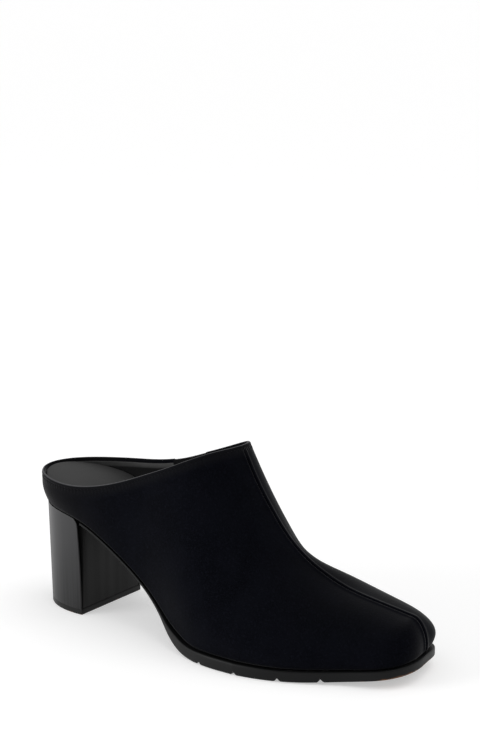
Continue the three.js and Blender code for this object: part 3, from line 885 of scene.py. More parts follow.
def new_group(name, numbers):
    """A Geometry Nodes tree with a geometry, named sizes and a material going in."""
    group = bpy.data.node_groups.new(name, "GeometryNodeTree")
    face = group.interface
    face.new_socket("Geometry", in_out="INPUT", socket_type="NodeSocketGeometry")
    for title, value in numbers.items():
        socket = face.new_socket(title, in_out="INPUT", socket_type="NodeSocketFloat")
        socket.default_value = value
    face.new_socket("Material", in_out="INPUT", socket_type="NodeSocketMaterial")
    face.new_socket("Geometry", in_out="OUTPUT", socket_type="NodeSocketGeometry")
    tree = Tree(group)
    return group, tree, tree.add("NodeGroupInput").outputs


def end_group(tree, given, geometry):
    """Ends a tree in plain, smooth faces with the material on them."""
    real = tree.add("GeometryNodeRealizeInstances", {"Geometry": geometry}).outputs[0]
    shaded = tree.add("GeometryNodeSetShadeSmooth", {"Geometry": real}).outputs[0]
    dressed = tree.add("GeometryNodeSetMaterial", {"Geometry": shaded, "Material": given["Material"]})
    tree.add("NodeGroupOutput", {"Geometry": dressed.outputs[0]})


def stitch_group():
    """Stitches at an even pitch along an edge line, each lying on the surface that out points from."""
    group, tree, given = new_group("stitch_row", {"Pitch": 2.2, "Stitch Length": 1.7, "Thread": 0.4})
    line = tree.add("GeometryNodeMeshToCurve", {"Mesh": given["Geometry"]}).outputs[0]
    dots = tree.add("GeometryNodeCurveToPoints", {"Curve": line, "Length": given["Pitch"]}, mode="LENGTH")
    axes = {"Primary Axis": dots.outputs["Tangent"], "Secondary Axis": tree.stored("out", "FLOAT_VECTOR")}
    turn = tree.add("FunctionNodeAxesToRotation", axes, primary_axis="X", secondary_axis="Z").outputs[0]
    ball = tree.add("GeometryNodeMeshUVSphere", {"Segments": 8, "Rings": 6, "Radius": 0.5}).outputs[0]
    lengths = {"X": given["Stitch Length"], "Y": given["Thread"], "Z": given["Thread"]}
    size = tree.add("ShaderNodeCombineXYZ", lengths).outputs[0]
    stitch = tree.add("GeometryNodeTransform", {"Geometry": ball, "Scale": size}).outputs[0]
    spread = {"Points": dots.outputs["Points"], "Instance": stitch, "Rotation": turn}
    end_group(tree, given, tree.add("GeometryNodeInstanceOnPoints", spread).outputs[0])
    return group


def rib_group():
    """Raises upright ribs on a sheet that stores its places across and its direction out."""
    group, tree, given = new_group("elastic_ribs", {"Rib Pitch": 1.5, "Rib Height": 0.3})
    turns = tree.math("DIVIDE", tree.stored("across", "FLOAT"), given["Rib Pitch"])
    wave = tree.math("ABSOLUTE", tree.math("SINE", tree.times(turns, math.pi)))
    scaled = {0: tree.stored("out", "FLOAT_VECTOR"), "Scale": tree.times(wave, given["Rib Height"])}
    offset = tree.add("ShaderNodeVectorMath", scaled, operation="SCALE").outputs[0]
    raised = tree.add("GeometryNodeSetPosition", {"Geometry": given["Geometry"], "Offset": offset})
    end_group(tree, given, raised.outputs[0])
    return group


def applied(piece, modifier):
    """Keeps what a modifier makes as the piece's plain mesh."""
    graph = bpy.context.evaluated_depsgraph_get()
    mesh = bpy.data.meshes.new_from_object(piece.evaluated_get(graph))
    piece.modifiers.remove(modifier)
    piece.data = mesh


def grown(guide, group, material, **numbers):
    """Runs a tree on a guide mesh, and keeps the result as the guide's plain mesh."""
    modifier = guide.modifiers.new(group.name, "NODES")
    modifier.node_group = group
    values = {**numbers, "material": material}
    for item in group.interface.items_tree:
        name = item.name.replace(" ", "_").lower()
        if item.in_out == "INPUT" and name in values:
            modifier[item.identifier] = values[name]
    applied(guide, modifier)
    guide.data.name = guide.name


def guide_line(name, lines):
    """Open edge lines for rows of stitches. Each line is points in millimetres and directions out."""
    points, outs = (np.concatenate(parts) for parts in zip(*lines))
    edges, first = [], 0
    for line, _ in lines:
        edges += [(first + i, first + i + 1) for i in range(len(line) - 1)]
        first += len(line)
    mesh = bpy.data.meshes.new(name)
    mesh.from_pydata(to_frame(points).tolist(), edges, [])
    guide = add_object(name, mesh)
    point_values(guide, "out", outs)
    return guide


# Sizes and colours that a user would change


def millimetres(name, description, default):
    return FloatProperty(name=name, description=f"{description}, mm", default=default)


def metres(name, description, default):
    return FloatProperty(name=name, description=description, default=default, unit="LENGTH")


def number(name, description, default, subtype="NONE"):
    return FloatProperty(name=name, description=description, default=default, subtype=subtype)


def colour(name, description, *default):
    return FloatVectorProperty(name=name, description=description, default=default, subtype="COLOR")


class MuleUpperSizes(bpy.types.PropertyGroup):
    """Sizes of the upper's cloth, its seam, its open edge and its lining"""

    cloth_thickness: millimetres("Cloth", "Thickness of the outer cloth", 1.25)
    seam_lip: millimetres("Seam lip", "Height of the seam's lips", 0.4)
    seam_depth: millimetres("Seam depth", "Depth of the seam's groove", 0.95)
    seam_width: millimetres("Seam width", "Width of the seam", 1.1)
    edge_roll: millimetres("Edge roll", "Swell of the turned edge", 0.22)
    stitch_line: millimetres("Stitch line", "Stitches to the open edge", 1.15)
    feather: millimetres("Feather", "Tuck of the cloth at the sole", 0.45)
    crease: millimetres("Creases", "Depth of the vamp's soft creases", 0.35)
    turned_edge: millimetres("Turned edge", "Cloth turned in at the open edge", 1.7)
    lining_roll: millimetres("Lining roll", "Padding of the lining at its edge", 0.35)


class MuleStitchSizes(bpy.types.PropertyGroup):
    """Sizes of the stitches and of the elastic's ribs"""

    pitch: metres("Pitch", "Stitch to stitch", 0.0023)
    length: metres("Length", "Length of a stitch", 0.0013)
    thread: metres("Thread", "Thickness of the thread", 0.0003)
    rib_pitch: metres("Rib pitch", "Elastic rib to rib", 0.0016)
    rib_height: metres("Rib height", "Height of an elastic rib", 0.0004)


class MuleUnitSizes(bpy.types.PropertyGroup):
    """Sizes of the heel, the footbed and the sole's fine tread"""

    heel_rim: millimetres("Heel rim", "Thickness of the cover's front rim", 0.8)
    rim_back_base: millimetres("Rim back, base", "Rim behind the breast at the base", 0.5)
    rim_back_top: millimetres("Rim back, top", "Rim behind the breast at the top", 2.6)
    rim_round: millimetres("Rim round", "Rounding of the rim at the top", 3.4)
    groove_width_top: millimetres("Groove width, top", "Groove inside the rim", 3.5)
    groove_width_base: millimetres("Groove width, base", "Groove inside the rim", 0.6)
    groove_depth_top: millimetres("Groove depth, top", "Groove inside the rim", 6.5)
    groove_depth_base: millimetres("Groove depth, base", "Groove inside the rim", 1.0)
    panel_round: millimetres("Panel round", "Rounding of the breast panel", 0.5)
    panel_back: millimetres("Panel back", "Breast panel behind the rim", 0.3)
    pad_crown: millimetres("Pad crown", "Rise of the footbed's middle", 0.5)
    pad_rise: millimetres("Pad rise", "Extra loft of the footbed under the heel", 1.7)
    pad_clearance: millimetres("Pad clearance", "Footbed to lining", 0.3)
    tread_rib: millimetres("Tread rib", "Depth of the fine tread", 0.35)
    tread_pitch: millimetres("Tread pitch", "Pitch of the fine tread", 2.14)
    tread_steps: IntProperty(name="Tread steps", description="Mesh steps in each fine rib", default=6)


class MuleFinish(bpy.types.PropertyGroup):
    """Colours and finishes of the pieces and the floor"""

    cloth: colour("Cloth", "Outer cloth", 0.0019, 0.0021, 0.0034)
    cloth_sheen: number("Cloth sheen", "Weight of the nap's sheen", 0.2)
    # Painted sheen round the heel
    heel_nap: colour("Heel nap", "Paler nap round the heel", 0.0082, 0.008, 0.0085)
    # Painted highlight near the open edge
    edge_nap: colour("Edge nap", "Paler nap near the open edge", 0.0065, 0.0066, 0.0074)
    # Painted highlight on the crest of the turned edge
    crest: colour("Crest", "Cloth on the crest of the turned edge", 0.09, 0.09, 0.094)
    pucker_pitch: millimetres("Pucker pitch", "Pitch of the puckers", 2.3)
    lining: colour("Lining", "Lining leather", 0.034, 0.034, 0.034)
    # Painted shade: a far darker colour for the lining wall below the facing, the shade inside the collar
    painted_wall_shade: colour("Wall lining", "Lining cloth below the facing", 0.0035, 0.0035, 0.004)
    facing: millimetres("Facing", "Width of the leather facing at the edge", 2.1)
    elastic: colour("Elastic", "Elastic webbing", 0.004, 0.004, 0.0045)
    sole: colour("Sole", "Sole rubber", 0.0035, 0.0036, 0.0039)
    # The breast keeps this colour; the cover is painted 3 to 15 times paler for reflection
    heel: colour("Heel", "Heel lacquer", 0.002, 0.002, 0.0021)
    lift: colour("Top lift", "Top lift rubber", 0.005, 0.005, 0.005)
    thread: colour("Thread", "Sewing thread", 0.0025, 0.0025, 0.003)
    dust: colour("Dust", "Warm dust low on the sole", 0.16, 0.075, 0.035)
    floor: colour("Floor", "Studio floor", 0.72, 0.72, 0.72)
    floor_glow: number("Floor glow", "Light that the studio floor gives", 0.43)


# The camera's focal length was measured in the photo's pixels, of which it is this many high
FOCAL_PIXELS = 2000
PHOTO_HEIGHT = 736
SENSOR = 36


class MuleStage(bpy.types.PropertyGroup):
    """Camera and light"""

    azimuth: number("Azimuth", "Camera's angle round the shoe", math.radians(34.144), "ANGLE")
    elevation: number("Elevation", "Camera's angle above the floor", math.radians(12.0), "ANGLE")
    lens: number("Lens", "Focal length, mm", FOCAL_PIXELS * SENSOR / PHOTO_HEIGHT)
    key: number("Key light", "Strength of the soft light from above", 0.8)
    side: number("Side light", "Power of the light at the heel's side", 12, "POWER")
    horizon: number("Horizon", "White low down all round", 1.05)
    behind: number("Behind", "White wall behind the shoe", 0.75)
    before: number("Before", "Darker room on the camera's side", 0.25)
    above: number("Above", "Soft light from above", 0.52)


def bell(away, width):
    """A soft hump of height 1 round 0."""
    return np.exp(-((away / width) ** 2))


def seam_relief(sizes, distance):
    """Two soft lips with a groove between them."""
    lip = sizes.seam_lip * bell(distance - 1.4 * sizes.seam_width, sizes.seam_width)
    groove = sizes.seam_depth * bell(distance, 0.45 * sizes.seam_width)
    return np.where(np.isfinite(distance), lip - groove, 0)


def edge_relief(sizes, away):
    """The turned edge swells, dips at the stitch line and eases back."""
    line = sizes.stitch_line
    roll = bell(away - 0.5 * line, 0.45 * line)
    dip = 0.9 * bell(away - line, 0.45)
    ease = 0.5 * bell(away - 2.2 * line, 0.7 * line)
    return sizes.edge_roll * (roll - dip + ease)


# Soft troughs and ridges of the cloth, listed one by one. Each runs from one place on the last to
# another:
# stations as shares of the length, heights as shares of the section, a half width in mm and a depth
# as a share of the crease size. A negative depth is a ridge.
CREASES = table(
    "side from_at from_up to_at to_up half depth",
    (-1, 0.3, 0.3, 0.42, 0.52, 4.5, 0.5),
    (-1, 0.33, 0.2, 0.46, 0.4, 5, -0.45),
    (-1, 0.48, 0.75, 0.62, 0.42, 6, 0.4),
    (-1, 0.6, 0.62, 0.68, 0.3, 4, 0.5),
    (-1, 0.64, 0.62, 0.72, 0.28, 4, -0.4),
    (1, 0.3, 0.35, 0.42, 0.5, 5, 0.5),
    (1, 0.6, 0.6, 0.7, 0.3, 4, 0.55),
    (1, 0.48, 0.7, 0.6, 0.45, 6, -0.4),
)


def crease_relief(sizes, points):
    """Depth of the soft creases at each point."""
    relief = np.zeros(len(points))
    for k in range(len(CREASES["side"])):
        row = {name: column[k] for name, column in CREASES.items()}
        side = "lateral" if row["side"] < 0 else "medial"
        ends = []
        for end in ("from", "to"):
            rib = make_rib(side, np.array([row[f"{end}_at"] * LAST_LENGTH]))
            foot, ridge = rib["foot"][0, 2], rib["ridge"][0, 2]
            turn = turn_at_height(rib, np.array([lerp(foot, ridge, row[f"{end}_up"])]))
            ends.append(on_rib(rib, turn)[0])
        line = ends[1] - ends[0]
        share = np.clip((points - ends[0]) @ line / (line @ line), 0, 1)
        away = np.linalg.norm(points - ends[0] - share[:, None] * line, axis=1)
        fade = np.sin(np.clip(share, 0.02, 0.98) * math.pi) ** 0.7
        relief -= sizes.crease * row["depth"] * fade * bell(away, row["half"])
    return relief


WALL_STEP = 0.5


def wall_point(side, x, height, offset):
    """A point at a height on the wall, moved along the wall's normal, with that normal."""

    def at(place, level):
        rib = make_rib(side, place)
        return on_rib(rib, turn_at_height(rib, level))

    along = at(x + WALL_STEP, height) - at(x - WALL_STEP, height)
    up = at(x, height + WALL_STEP) - at(x, height - WALL_STEP)
    normal = unit(np.cross(along, up))
    normal *= np.sign(normal[..., 1:2]) * SIDES[side]
    return at(x, height) + normal * offset, normal


def gore_lean(depth):
    """How far the sides of the elastic insert lean in at a depth below the open edge."""
    return GORE_NARROWING * np.clip(depth / GORE_DEPTH, 0, 1)


def gore_grid(grow, over, across, down):
    """Stations, heights and depths of the elastic insert's patch of the medial wall, grown all round
    and reaching over the open edge."""
    depth = np.linspace(GORE_DEPTH + grow, -over, down + 1)[:, None]
    lean = gore_lean(depth)
    share = np.linspace(0, 1, across + 1)[None, :]
    x = lerp(GORE_AT + lean - grow, GORE_AT + GORE_WIDTH - lean + grow, share)
    depth = np.broadcast_to(depth, x.shape)
    return x, topline_height("medial", x) - depth, depth


def patch_solid(name, outer, inner):
    """A closed plate from two grids of points that face each other."""
    rows, columns = outer.shape[:2]
    ids = np.arange(rows * columns).reshape(rows, columns)
    size = ids.size
    front = np.stack([ids[:-1, :-1], ids[1:, :-1], ids[1:, 1:], ids[:-1, 1:]], -1).reshape(-1, 4)
    rim = np.concatenate([ids[0, :-1], ids[:-1, -1], ids[-1, :0:-1], ids[:0:-1, 0]])
    after = np.roll(rim, -1)
    sides = np.stack([rim, after, after + size, rim + size], -1)
    points = np.concatenate([outer.reshape(-1, 3), inner.reshape(-1, 3)])
    piece, _ = make_mesh(name, points, np.concatenate([front, front[:, ::-1] + size, sides]))
    tidy_faces(piece)
    return piece


# The cutter reaches this far past the wall, in millimetres. In metres: points at the cut that are
# closer together than this are merged.
CUTTER_PAST = 3
CUT_MERGE = 8e-6


def cut_gore(piece):
    """Cuts the opening of the elastic insert out of a wall."""
    x, height, _ = gore_grid(grow=GAP, over=4, across=12, down=12)
    outer, _ = wall_point("medial", x, height, CUTTER_PAST)
    inner, _ = wall_point("medial", x, height, -UPPER_WALL - CUTTER_PAST)
    cutter = patch_solid("gore_cutter", outer, inner)
    modifier = piece.modifiers.new("gore_cut", "BOOLEAN")
    modifier.operation = "DIFFERENCE"
    modifier.solver = "EXACT"
    modifier.object = cutter
    applied(piece, modifier)
    bpy.data.objects.remove(cutter)

    def change(form):
        behind = [vert for vert in form.verts if vert.co.x < 0]
        bmesh.ops.remove_doubles(form, verts=behind, dist=CUT_MERGE)
        bmesh.ops.dissolve_degenerate(form, edges=form.edges, dist=SLIVERS)

    edited(piece.data, change)


def sizes_of(name):
    """One of the property groups that register puts on the scene."""
    return getattr(bpy.context.scene, name)


# Painted highlight: how pale each ring round the turned edge is, from the outside in
CREST_LIGHT = (0, 0.7, 1, 0.9, 0.1, 0, 0)
# In millimetres: the turned edge's extra thickness, the run over which it eases off, the run over
# which the seam grows to its full depth, and how much farther from the edge the inner wall counts
TURNED_IN = 0.25
TURNED_RUN = 0.5
SEAM_FADE = 3.5
INNER_WALL_AWAY = 9


class MULE_OT_upper(bpy.types.Operator):
    """The upper's outer cloth: two panels joined by the centre seam, with a turned open edge"""

    bl_idname = "mule.upper"
    bl_label = "Upper cloth"

    def execute(self, context):
        sizes = sizes_of("mule_upper")
        stations = last_stations(heel=36, waist=96, forepart=84, toe=34, front=FINE_TOP[1:])
        sheet = upper_sheet(stations, fine_rows)
        away, run = near_edge(sheet, sheet["points"])
        relief = seam_relief(sizes, sheet["seam"]) * np.clip(away / SEAM_FADE, 0.25, 1)
        relief += edge_relief(sizes, away) - sizes.feather * bell(sheet["up"], 0.7)
        relief += crease_relief(sizes, sheet["points"])
        turned = np.clip((away - sizes.turned_edge) / TURNED_RUN, 0, 1)
        inner = -lerp(sizes.cloth_thickness + TURNED_IN, sizes.cloth_thickness, turned)
        rings = len(CREST_LIGHT)
        points, quads = thickened(sheet, relief, inner, rings)
        piece, used = make_mesh("upper_cloth", points, quads)
        loop = sheet["top"]
        values = {
            "edge_run": (run, run, np.tile(run[loop], rings)),
            "edge_away": (away, away + INNER_WALL_AWAY, np.zeros(rings * len(loop))),
            # the crest values carry the painted highlight on the turned edge
            "crest": (np.zeros(2 * len(away)), np.repeat(CREST_LIGHT, len(loop))),
        }
        for name, parts in values.items():
            point_values(piece, name, np.concatenate(parts)[used])
        cut_gore(piece)
        smooth(piece)
        finish_piece(piece, cloth_material(sizes_of("mule_finish")), "upper_fabric", "upper")
        return {"FINISHED"}


# In millimetres: how much lower than the turned edge the lining ends, its gap to the cloth, and the
# place and width of its rolled edge. The last value counts the rings round that edge.
LINING_DROP = 0.05
LINING_GAP = 0.02
ROLL_AT = 1.6
ROLL_WIDTH = 1.7
LINING_RINGS = 3


class MULE_OT_lining(bpy.types.Operator):
    """The lining inside the upper, which shows as a thin line along the open edge"""

    bl_idname = "mule.lining"
    bl_label = "Lining"

    def execute(self, context):
        sizes = sizes_of("mule_upper")
        front = (11, 7, 4, 2, 1, 0.4, 0)
        stations = last_stations(heel=30, waist=80, forepart=48, toe=20, front=front)
        open_part = np.clip((THROAT_AT - stations) / 5, 0, 1)
        lower = sizes.turned_edge * open_part[:, None] + LINING_DROP

        def lowered_rows(totals):
            return coarse_rows(totals) - lower * np.linspace(0, 1, COARSE_ROWS) ** 6

        sheet = upper_sheet(stations, lowered_rows)
        count = len(sheet["points"])
        away, _ = near_edge(sheet, sheet["points"])
        outer = np.full(count, -sizes.cloth_thickness - LINING_GAP)
        ahead = np.clip((sheet["points"][:, 0] - 18) / 22, 0, 1)
        inner = -UPPER_WALL - sizes.lining_roll * ahead * bell(away - ROLL_AT, ROLL_WIDTH)
        points, quads = thickened(sheet, outer, inner, LINING_RINGS)
        piece, used = make_mesh("upper_lining", points, quads)
        rim = np.zeros(len(points) - 2 * count)
        point_values(piece, "edge_away", np.concatenate([away, away, rim])[used])
        cut_gore(piece)
        smooth(piece)
        material = lining_material(sizes_of("mule_finish"), "collar_lining", True)
        finish_piece(piece, material, "insole_leather")
        return {"FINISHED"}


# How far the elastic's two faces lie below the cloth's outer face, in millimetres
ELASTIC_FACE = 0.7
ELASTIC_BACK = 1.9


class MULE_OT_gore(bpy.types.Operator):
    """The ribbed elastic insert on the medial side"""

    bl_idname = "mule.gore"
    bl_label = "Elastic insert"

    def execute(self, context):
        sizes = sizes_of("mule_stitches")
        x, height, depth = gore_grid(grow=0.1, over=0.4, across=150, down=60)
        outer, normal = wall_point("medial", x, height, -ELASTIC_FACE)
        inner, _ = wall_point("medial", x, height, -ELASTIC_BACK)
        piece = patch_solid("elastic_insert", outer, inner)
        flat = np.concatenate([outer.reshape(-1, 3), inner.reshape(-1, 3)])
        order = nearest(to_frame(flat), mesh_places(piece))
        out = np.concatenate([normal.reshape(-1, 3), np.zeros((depth.size, 3))])
        point_values(piece, "across", np.tile(((x - GORE_AT) * MM).ravel(), 2)[order])
        point_values(piece, "down", np.tile(depth.ravel(), 2)[order])
        point_values(piece, "out", out[order])
        material = elastic_material(sizes_of("mule_finish"))
        grown(piece, rib_group(), material, rib_pitch=sizes.rib_pitch, rib_height=sizes.rib_height)
        smooth(piece, math.radians(60))
        finish_piece(piece, material, "elastic", "elastic_gore")
        return {"FINISHED"}


def nearest(places, wanted):
    """For each wanted place, the index of the nearest of the places."""
    tree = KDTree(len(places))
    for i, place in enumerate(places):
        tree.insert(place, i)
    tree.balance()
    return np.array([tree.find(place)[1] for place in wanted])


# In millimetres: stitches lie this far above the cloth, the row along the open edge stops this far
# from the elastic insert, and the rows beside the insert lie this far from its sides
STITCH_RISE = 0.02
ROW_STOPS = 1
SIDE_ROWS = (1.3, 3.1)


class MULE_OT_stitches(bpy.types.Operator):
    """Rows of stitches along the open edge and beside the elastic insert"""

    bl_idname = "mule.stitches"
    bl_label = "Stitches"

    def execute(self, context):
        sizes = sizes_of("mule_stitches")
        upper = sizes_of("mule_upper")
        stations = last_stations(heel=30, waist=80, forepart=30, toe=10, front=(4, 2, 1, 0))
        sheet = upper_sheet(stations, coarse_rows)
        loop = sheet["top"]
        out = sheet["normals"][loop]
        line = sheet["points"][loop] - edge_lift(sheet) * upper.stitch_line + out * STITCH_RISE
        behind = line[:, 0] > GORE_AT - ROW_STOPS
        before = line[:, 0] < GORE_AT + GORE_WIDTH + ROW_STOPS
        keep = ~((line[:, 1] > 0) & behind & before)
        order = np.roll(np.arange(len(loop)), -int(np.argmax(~keep)))
        order = order[keep[order]]
        lines = [(line[order], out[order])]
        depth = np.linspace(1.5, GORE_DEPTH + 1.6, 30)
        lean = gore_lean(depth)
        for row in SIDE_ROWS:
            for x in (GORE_AT + lean - row, GORE_AT + GORE_WIDTH - lean + row):
                level = topline_height("medial", x) - depth
                lines.append(wall_point("medial", x, level, STITCH_RISE))
        guide = guide_line("stitches", lines)
        material = thread_material(sizes_of("mule_finish"))
        numbers = {"pitch": sizes.pitch, "stitch_length": sizes.length, "thread": sizes.thread}
        grown(guide, stitch_group(), material, **numbers)
        finish_piece(guide, None, "upper_fabric")
        return {"FINISHED"}


# Rings of the footbed: heights of those up its wall, steps round its upper edge, and the shares of
# the half width at which those over the top lie. In millimetres, the edge is drawn in by PAD_EDGE
# on its way up, and the top's rings by PAD_TOP_IN.
PAD_WALL = (0, 0.3, 0.6, 0.8)
PAD_ROUND = 7
PAD_TOP = (1, 0.97, 0.93, 0.87, 0.8, 0.7, 0.6, 0.5, 0.4, 0.3, 0.2, 0.1, 0.03)
PAD_EDGE = 0.9
PAD_TOP_IN = 1.1
# The rings shrink to a middle line between these distances from the heel and from the toe
PAD_MIDDLE = (16, 18)
# The footbed's rise under the heel comes to nothing this far from the back, and sinks in front
PAD_RISE_TO = 65


def footbed_thickness(x):
    """How thick the footbed is at x, from the heel to the toe."""
    return lerp(FOOTBED_TOE, FOOTBED_HEEL, np.clip(1 - x / TREAD_START, 0, 1) ** FOOTBED_TAPER)


class MULE_OT_footbed(bpy.types.Operator):
    """The padded footbed in its leather cover"""

    bl_idname = "mule.footbed"
    bl_label = "Footbed"

    def execute(self, context):
        sizes = sizes_of("mule_units")
        front = (10, 7, 4.5, 2.5, 1.2, 0.4, 0)
        xs = last_stations(heel=30, waist=60, forepart=50, toe=24, front=front)

        def level_loop(up, inset, share):
            def point_at(side, x):
                rib = make_rib(side, x)
                height = lerp(GAP, footbed_thickness(xs), up)
                point = on_rib(rib, turn_at_height(rib, rib["foot"][:, 2] + height))
                point -= rib["out"] * (UPPER_WALL + sizes.pad_clearance + inset)
                middle_x = np.clip(x, PAD_MIDDLE[0], LAST_LENGTH - PAD_MIDDLE[1])
                point[:, 0] = lerp(point[:, 0], middle_x, 1 - share)
                point[:, 1] *= share
                crown = sizes.pad_crown * (1 - share**2) if up == 1 else 0
                rise = sizes.pad_rise * np.clip(1 - point[:, 0] / PAD_RISE_TO, -0.35, 1) * up
                level = lerp(GAP, footbed_thickness(point[:, 0]), up)
                point[:, 2] = seat_height(point[:, 0]) + level + rise + crown
                return point

            return side_loop(xs, point_at)

        loops = [level_loop(up, 0, 1) for up in PAD_WALL]
        for k in range(1, PAD_ROUND):
            turn = QUARTER * k / PAD_ROUND
            up = lerp(0.93, 0.999, math.sin(turn))
            loops.append(level_loop(up, PAD_EDGE * (1 - math.cos(turn)), 1))
        loops += [level_loop(1, PAD_TOP_IN, share) for share in PAD_TOP]
        piece = lofted("footbed_pad", loops)
        smooth(piece, math.radians(60))
        material = lining_material(sizes_of("mule_finish"))
        finish_piece(piece, material, "insole_leather", "insole")
        return {"FINISHED"}


def groove_height(x):
    """How high the V grooves reach above the underside at x."""
    away = np.min([np.abs(x - at) for at in GROOVES_AT], axis=0)
    return GROOVE_DEPTH * np.clip(1 - away / (GROOVE_WIDTH / 2), 0, 1)


# Rings round the sole unit, from the tread over its side to its top: reach as a share of the ledge,
# height as a share of the edge's thickness, and how far it is drawn in, in millimetres. The first
# one carries the fine tread.
SOLE_RINGS = (
    (0, 0, 5.2),
    (0, 0, 4.6),
    (0.35, 0, 0),
    (0.62, 0, 0),
    (0.82, 0.035, 0),
    (0.94, 0.1, 0),
    (0.99, 0.2, 0),
    (1, 0.34, 0),
    (1, 0.5, 0),
    (1, 0.66, 0),
    (1, 0.8, 0),
    (0.985, 0.88, 0),
    (0.93, 0.95, 0),
    (0.82, 0.99, 0),
    (0.6, 1, 0),
    (0.2, 0.985, 0),
    (0, 0.96, 0.6),
)
# Where dust clings: up to this height in millimetres, and from and over these shares of the length.
# Behind that it keeps the least share.
DUST_HEIGHT = 1.6
DUST_FROM = 0.86
DUST_RUN = 0.12
DUST_LEAST = 0.12


def sole_stations(start, sizes):
    """Stations of the sole unit, close together along the fine tread and at the V grooves' edges."""
    step = sizes.tread_pitch / sizes.tread_steps
    front = LAST_LENGTH - TOE_ROUND
    toe = last_stations(heel=2, waist=2, forepart=2, toe=40, front=(10, 8, 6, 4.4, 3, 2, 1, 0.4, 0))
    waist = np.linspace(start, TREAD_START - 4, 90)
    tread = np.arange(TREAD_START - 3.6, front, step)
    grooves = [at + GROOVE_WIDTH / 2 * np.array([-1, 0, 1]) for at in GROOVES_AT]
    xs = np.unique(np.round(np.concatenate([waist, tread, toe[toe > front], *grooves]), 4))
    xs = xs[np.concatenate([[True], np.diff(xs) > 0.02])]
    return np.append(xs[xs < LAST_LENGTH - 1e-3], LAST_LENGTH)


class MULE_OT_outsole(bpy.types.Operator):
    """The rubber sole unit with its ledge, V grooves and fine tread"""

    bl_idname = "mule.outsole"
    bl_label = "Outsole"

    def execute(self, context):
        sizes = sizes_of("mule_units")
        start = BREAST_AT + GAP
        xs = sole_stations(start, sizes)

        def ring(out, up, inset, rib):
            def point_at(side, x):
                edge = edge_point(side, x)
                ledge = SOLE_LEDGE * sole["ledge"](x / LAST_LENGTH)
                reach = ledge * out - inset * np.clip(half_width(side, x) / 12, 0, 1)
                point = edge + outward(side, x) * reach[:, None]
                point[:, 0] = np.maximum(point[:, 0], start)
                under = underside_height(x)
                low = groove_height(point[:, 0]) * np.clip((x - TREAD_START) / 2, 0, 1)
                height = np.maximum(lerp(under, edge[:, 2] - GAP, up), under + low + 0.02 * up)
                wave = np.clip(np.sin(2 * math.pi * x / sizes.tread_pitch) * 1.6, 0, 1)
                height += rib * wave * np.clip((x - TREAD_START) / 4, 0, 1) * (low <= 0)
                point[:, 2] = height
                return point

            return side_loop(xs, point_at)

        ribs = [sizes.tread_rib] + [0] * (len(SOLE_RINGS) - 1)
        piece = lofted("outsole_unit", [ring(*shape, rib) for shape, rib in zip(SOLE_RINGS, ribs)])
        smooth(piece, math.radians(34))
        finish = sizes_of("mule_finish")
        x, _, z = (mesh_places(piece) / MM - TO_FRAME).T
        low = np.clip(1 - (z - underside_height(np.clip(x, 0, LAST_LENGTH))) / DUST_HEIGHT, 0, 1)
        ahead = np.clip((x - DUST_FROM * LAST_LENGTH) / (DUST_RUN * LAST_LENGTH), DUST_LEAST, 1)
        point_values(piece, "wear", low * ahead)
        material = rubber_material("dark_sole_rubber", finish.sole, 0.48, finish.dust)
        finish_piece(piece, material, "sole_rubber", "outsole")
        return {"FINISHED"}


# Points of half an outline of the heel, along its cover and round the panel's corner, and the round
# of the rim's front edge in millimetres
COVER_POINTS = 44
CORNER_POINTS = 6
RIM_BEND = 0.35
# Width and depth of the groove where there is none, as on the top lift
CLOSED_GROOVE = 0.05


def heel_outline(level, sizes, front=0.0, inset=0.0, grooved=True):
    """One level of the heel in plan: the cover round the back, its front rim, the groove inside the
    rim and the flat breast panel. front is how far the rim stands back at this level."""
    deep = wide = CLOSED_GROOVE
    if grooved:
        deep = lerp(sizes.groove_depth_base, sizes.groove_depth_top, level)
        wide = lerp(sizes.groove_width_base, sizes.groove_width_top, level)
    rim, bend = sizes.heel_rim, RIM_BEND
    xs = SEAT_ROUND * (1 - np.cos(np.linspace(0, QUARTER, 90)))
    xs[-1] = BREAST_AT
    share = (BREAST_AT - xs) / BREAST_AT
    edge = BREAST_AT - front - inset
    panel_x = BREAST_AT - inset - sizes.panel_back * grooved
    bottom = BREAST_AT - inset - deep - 0.02
    lip = min(sizes.panel_round, 0.8 * deep)
    turn = np.linspace(0, QUARTER, CORNER_POINTS)
    sides = []
    for side in SIDES:
        top = np.stack([xs, SIDES[side] * half_width(side, xs)], -1)
        base_y = SIDES[side] * HEEL_BASE_WIDTH / 2 * np.sqrt(1 - share**2)
        base = np.stack([BREAST_AT - HEEL_BASE_LENGTH * share, base_y], -1)
        line = lerp(base, top, level)
        line = line + unit(np.array([BREAST_AT, 0.0]) - line) * inset
        out = abs(np.interp(edge, line[:, 0], line[:, 1]))
        line = line[line[:, 0] < edge - bend]
        run = np.concatenate([[0], np.cumsum(np.linalg.norm(np.diff(line, axis=0), axis=1))])
        even = np.linspace(0, run[-1], COVER_POINTS)
        cover = np.stack([np.interp(even, run, column) for column in line.T], -1)
        panel_y = out - rim - wide
        corner = np.stack([panel_x - lip + lip * np.sin(turn), panel_y - lip + lip * np.cos(turn)], -1)
        shape = [
            (edge - 0.3 * bend, out - 0.06),
            (edge, out - bend),
            (edge, out - rim + 0.15),
            (edge - 0.2, out - rim),
            (edge - 0.5 * deep, out - rim - 0.02),
            (bottom, out - rim - 0.05),
            (bottom, panel_y + 0.03),
            (panel_x - 0.6 * deep, panel_y),
            *corner,
            *((panel_x, (panel_y - lip) * part) for part in (0.9, 0.7, 0.5, 0.3, 0.1)),
        ]
        sides.append(np.concatenate([cover, np.array(shape) * (1, SIDES[side])]))
    return np.concatenate([sides[0], sides[1][::-1]])


def with_height(outline, height):
    """An outline's points with their heights as a third column."""
    return np.column_stack([outline, np.broadcast_to(height, len(outline))])


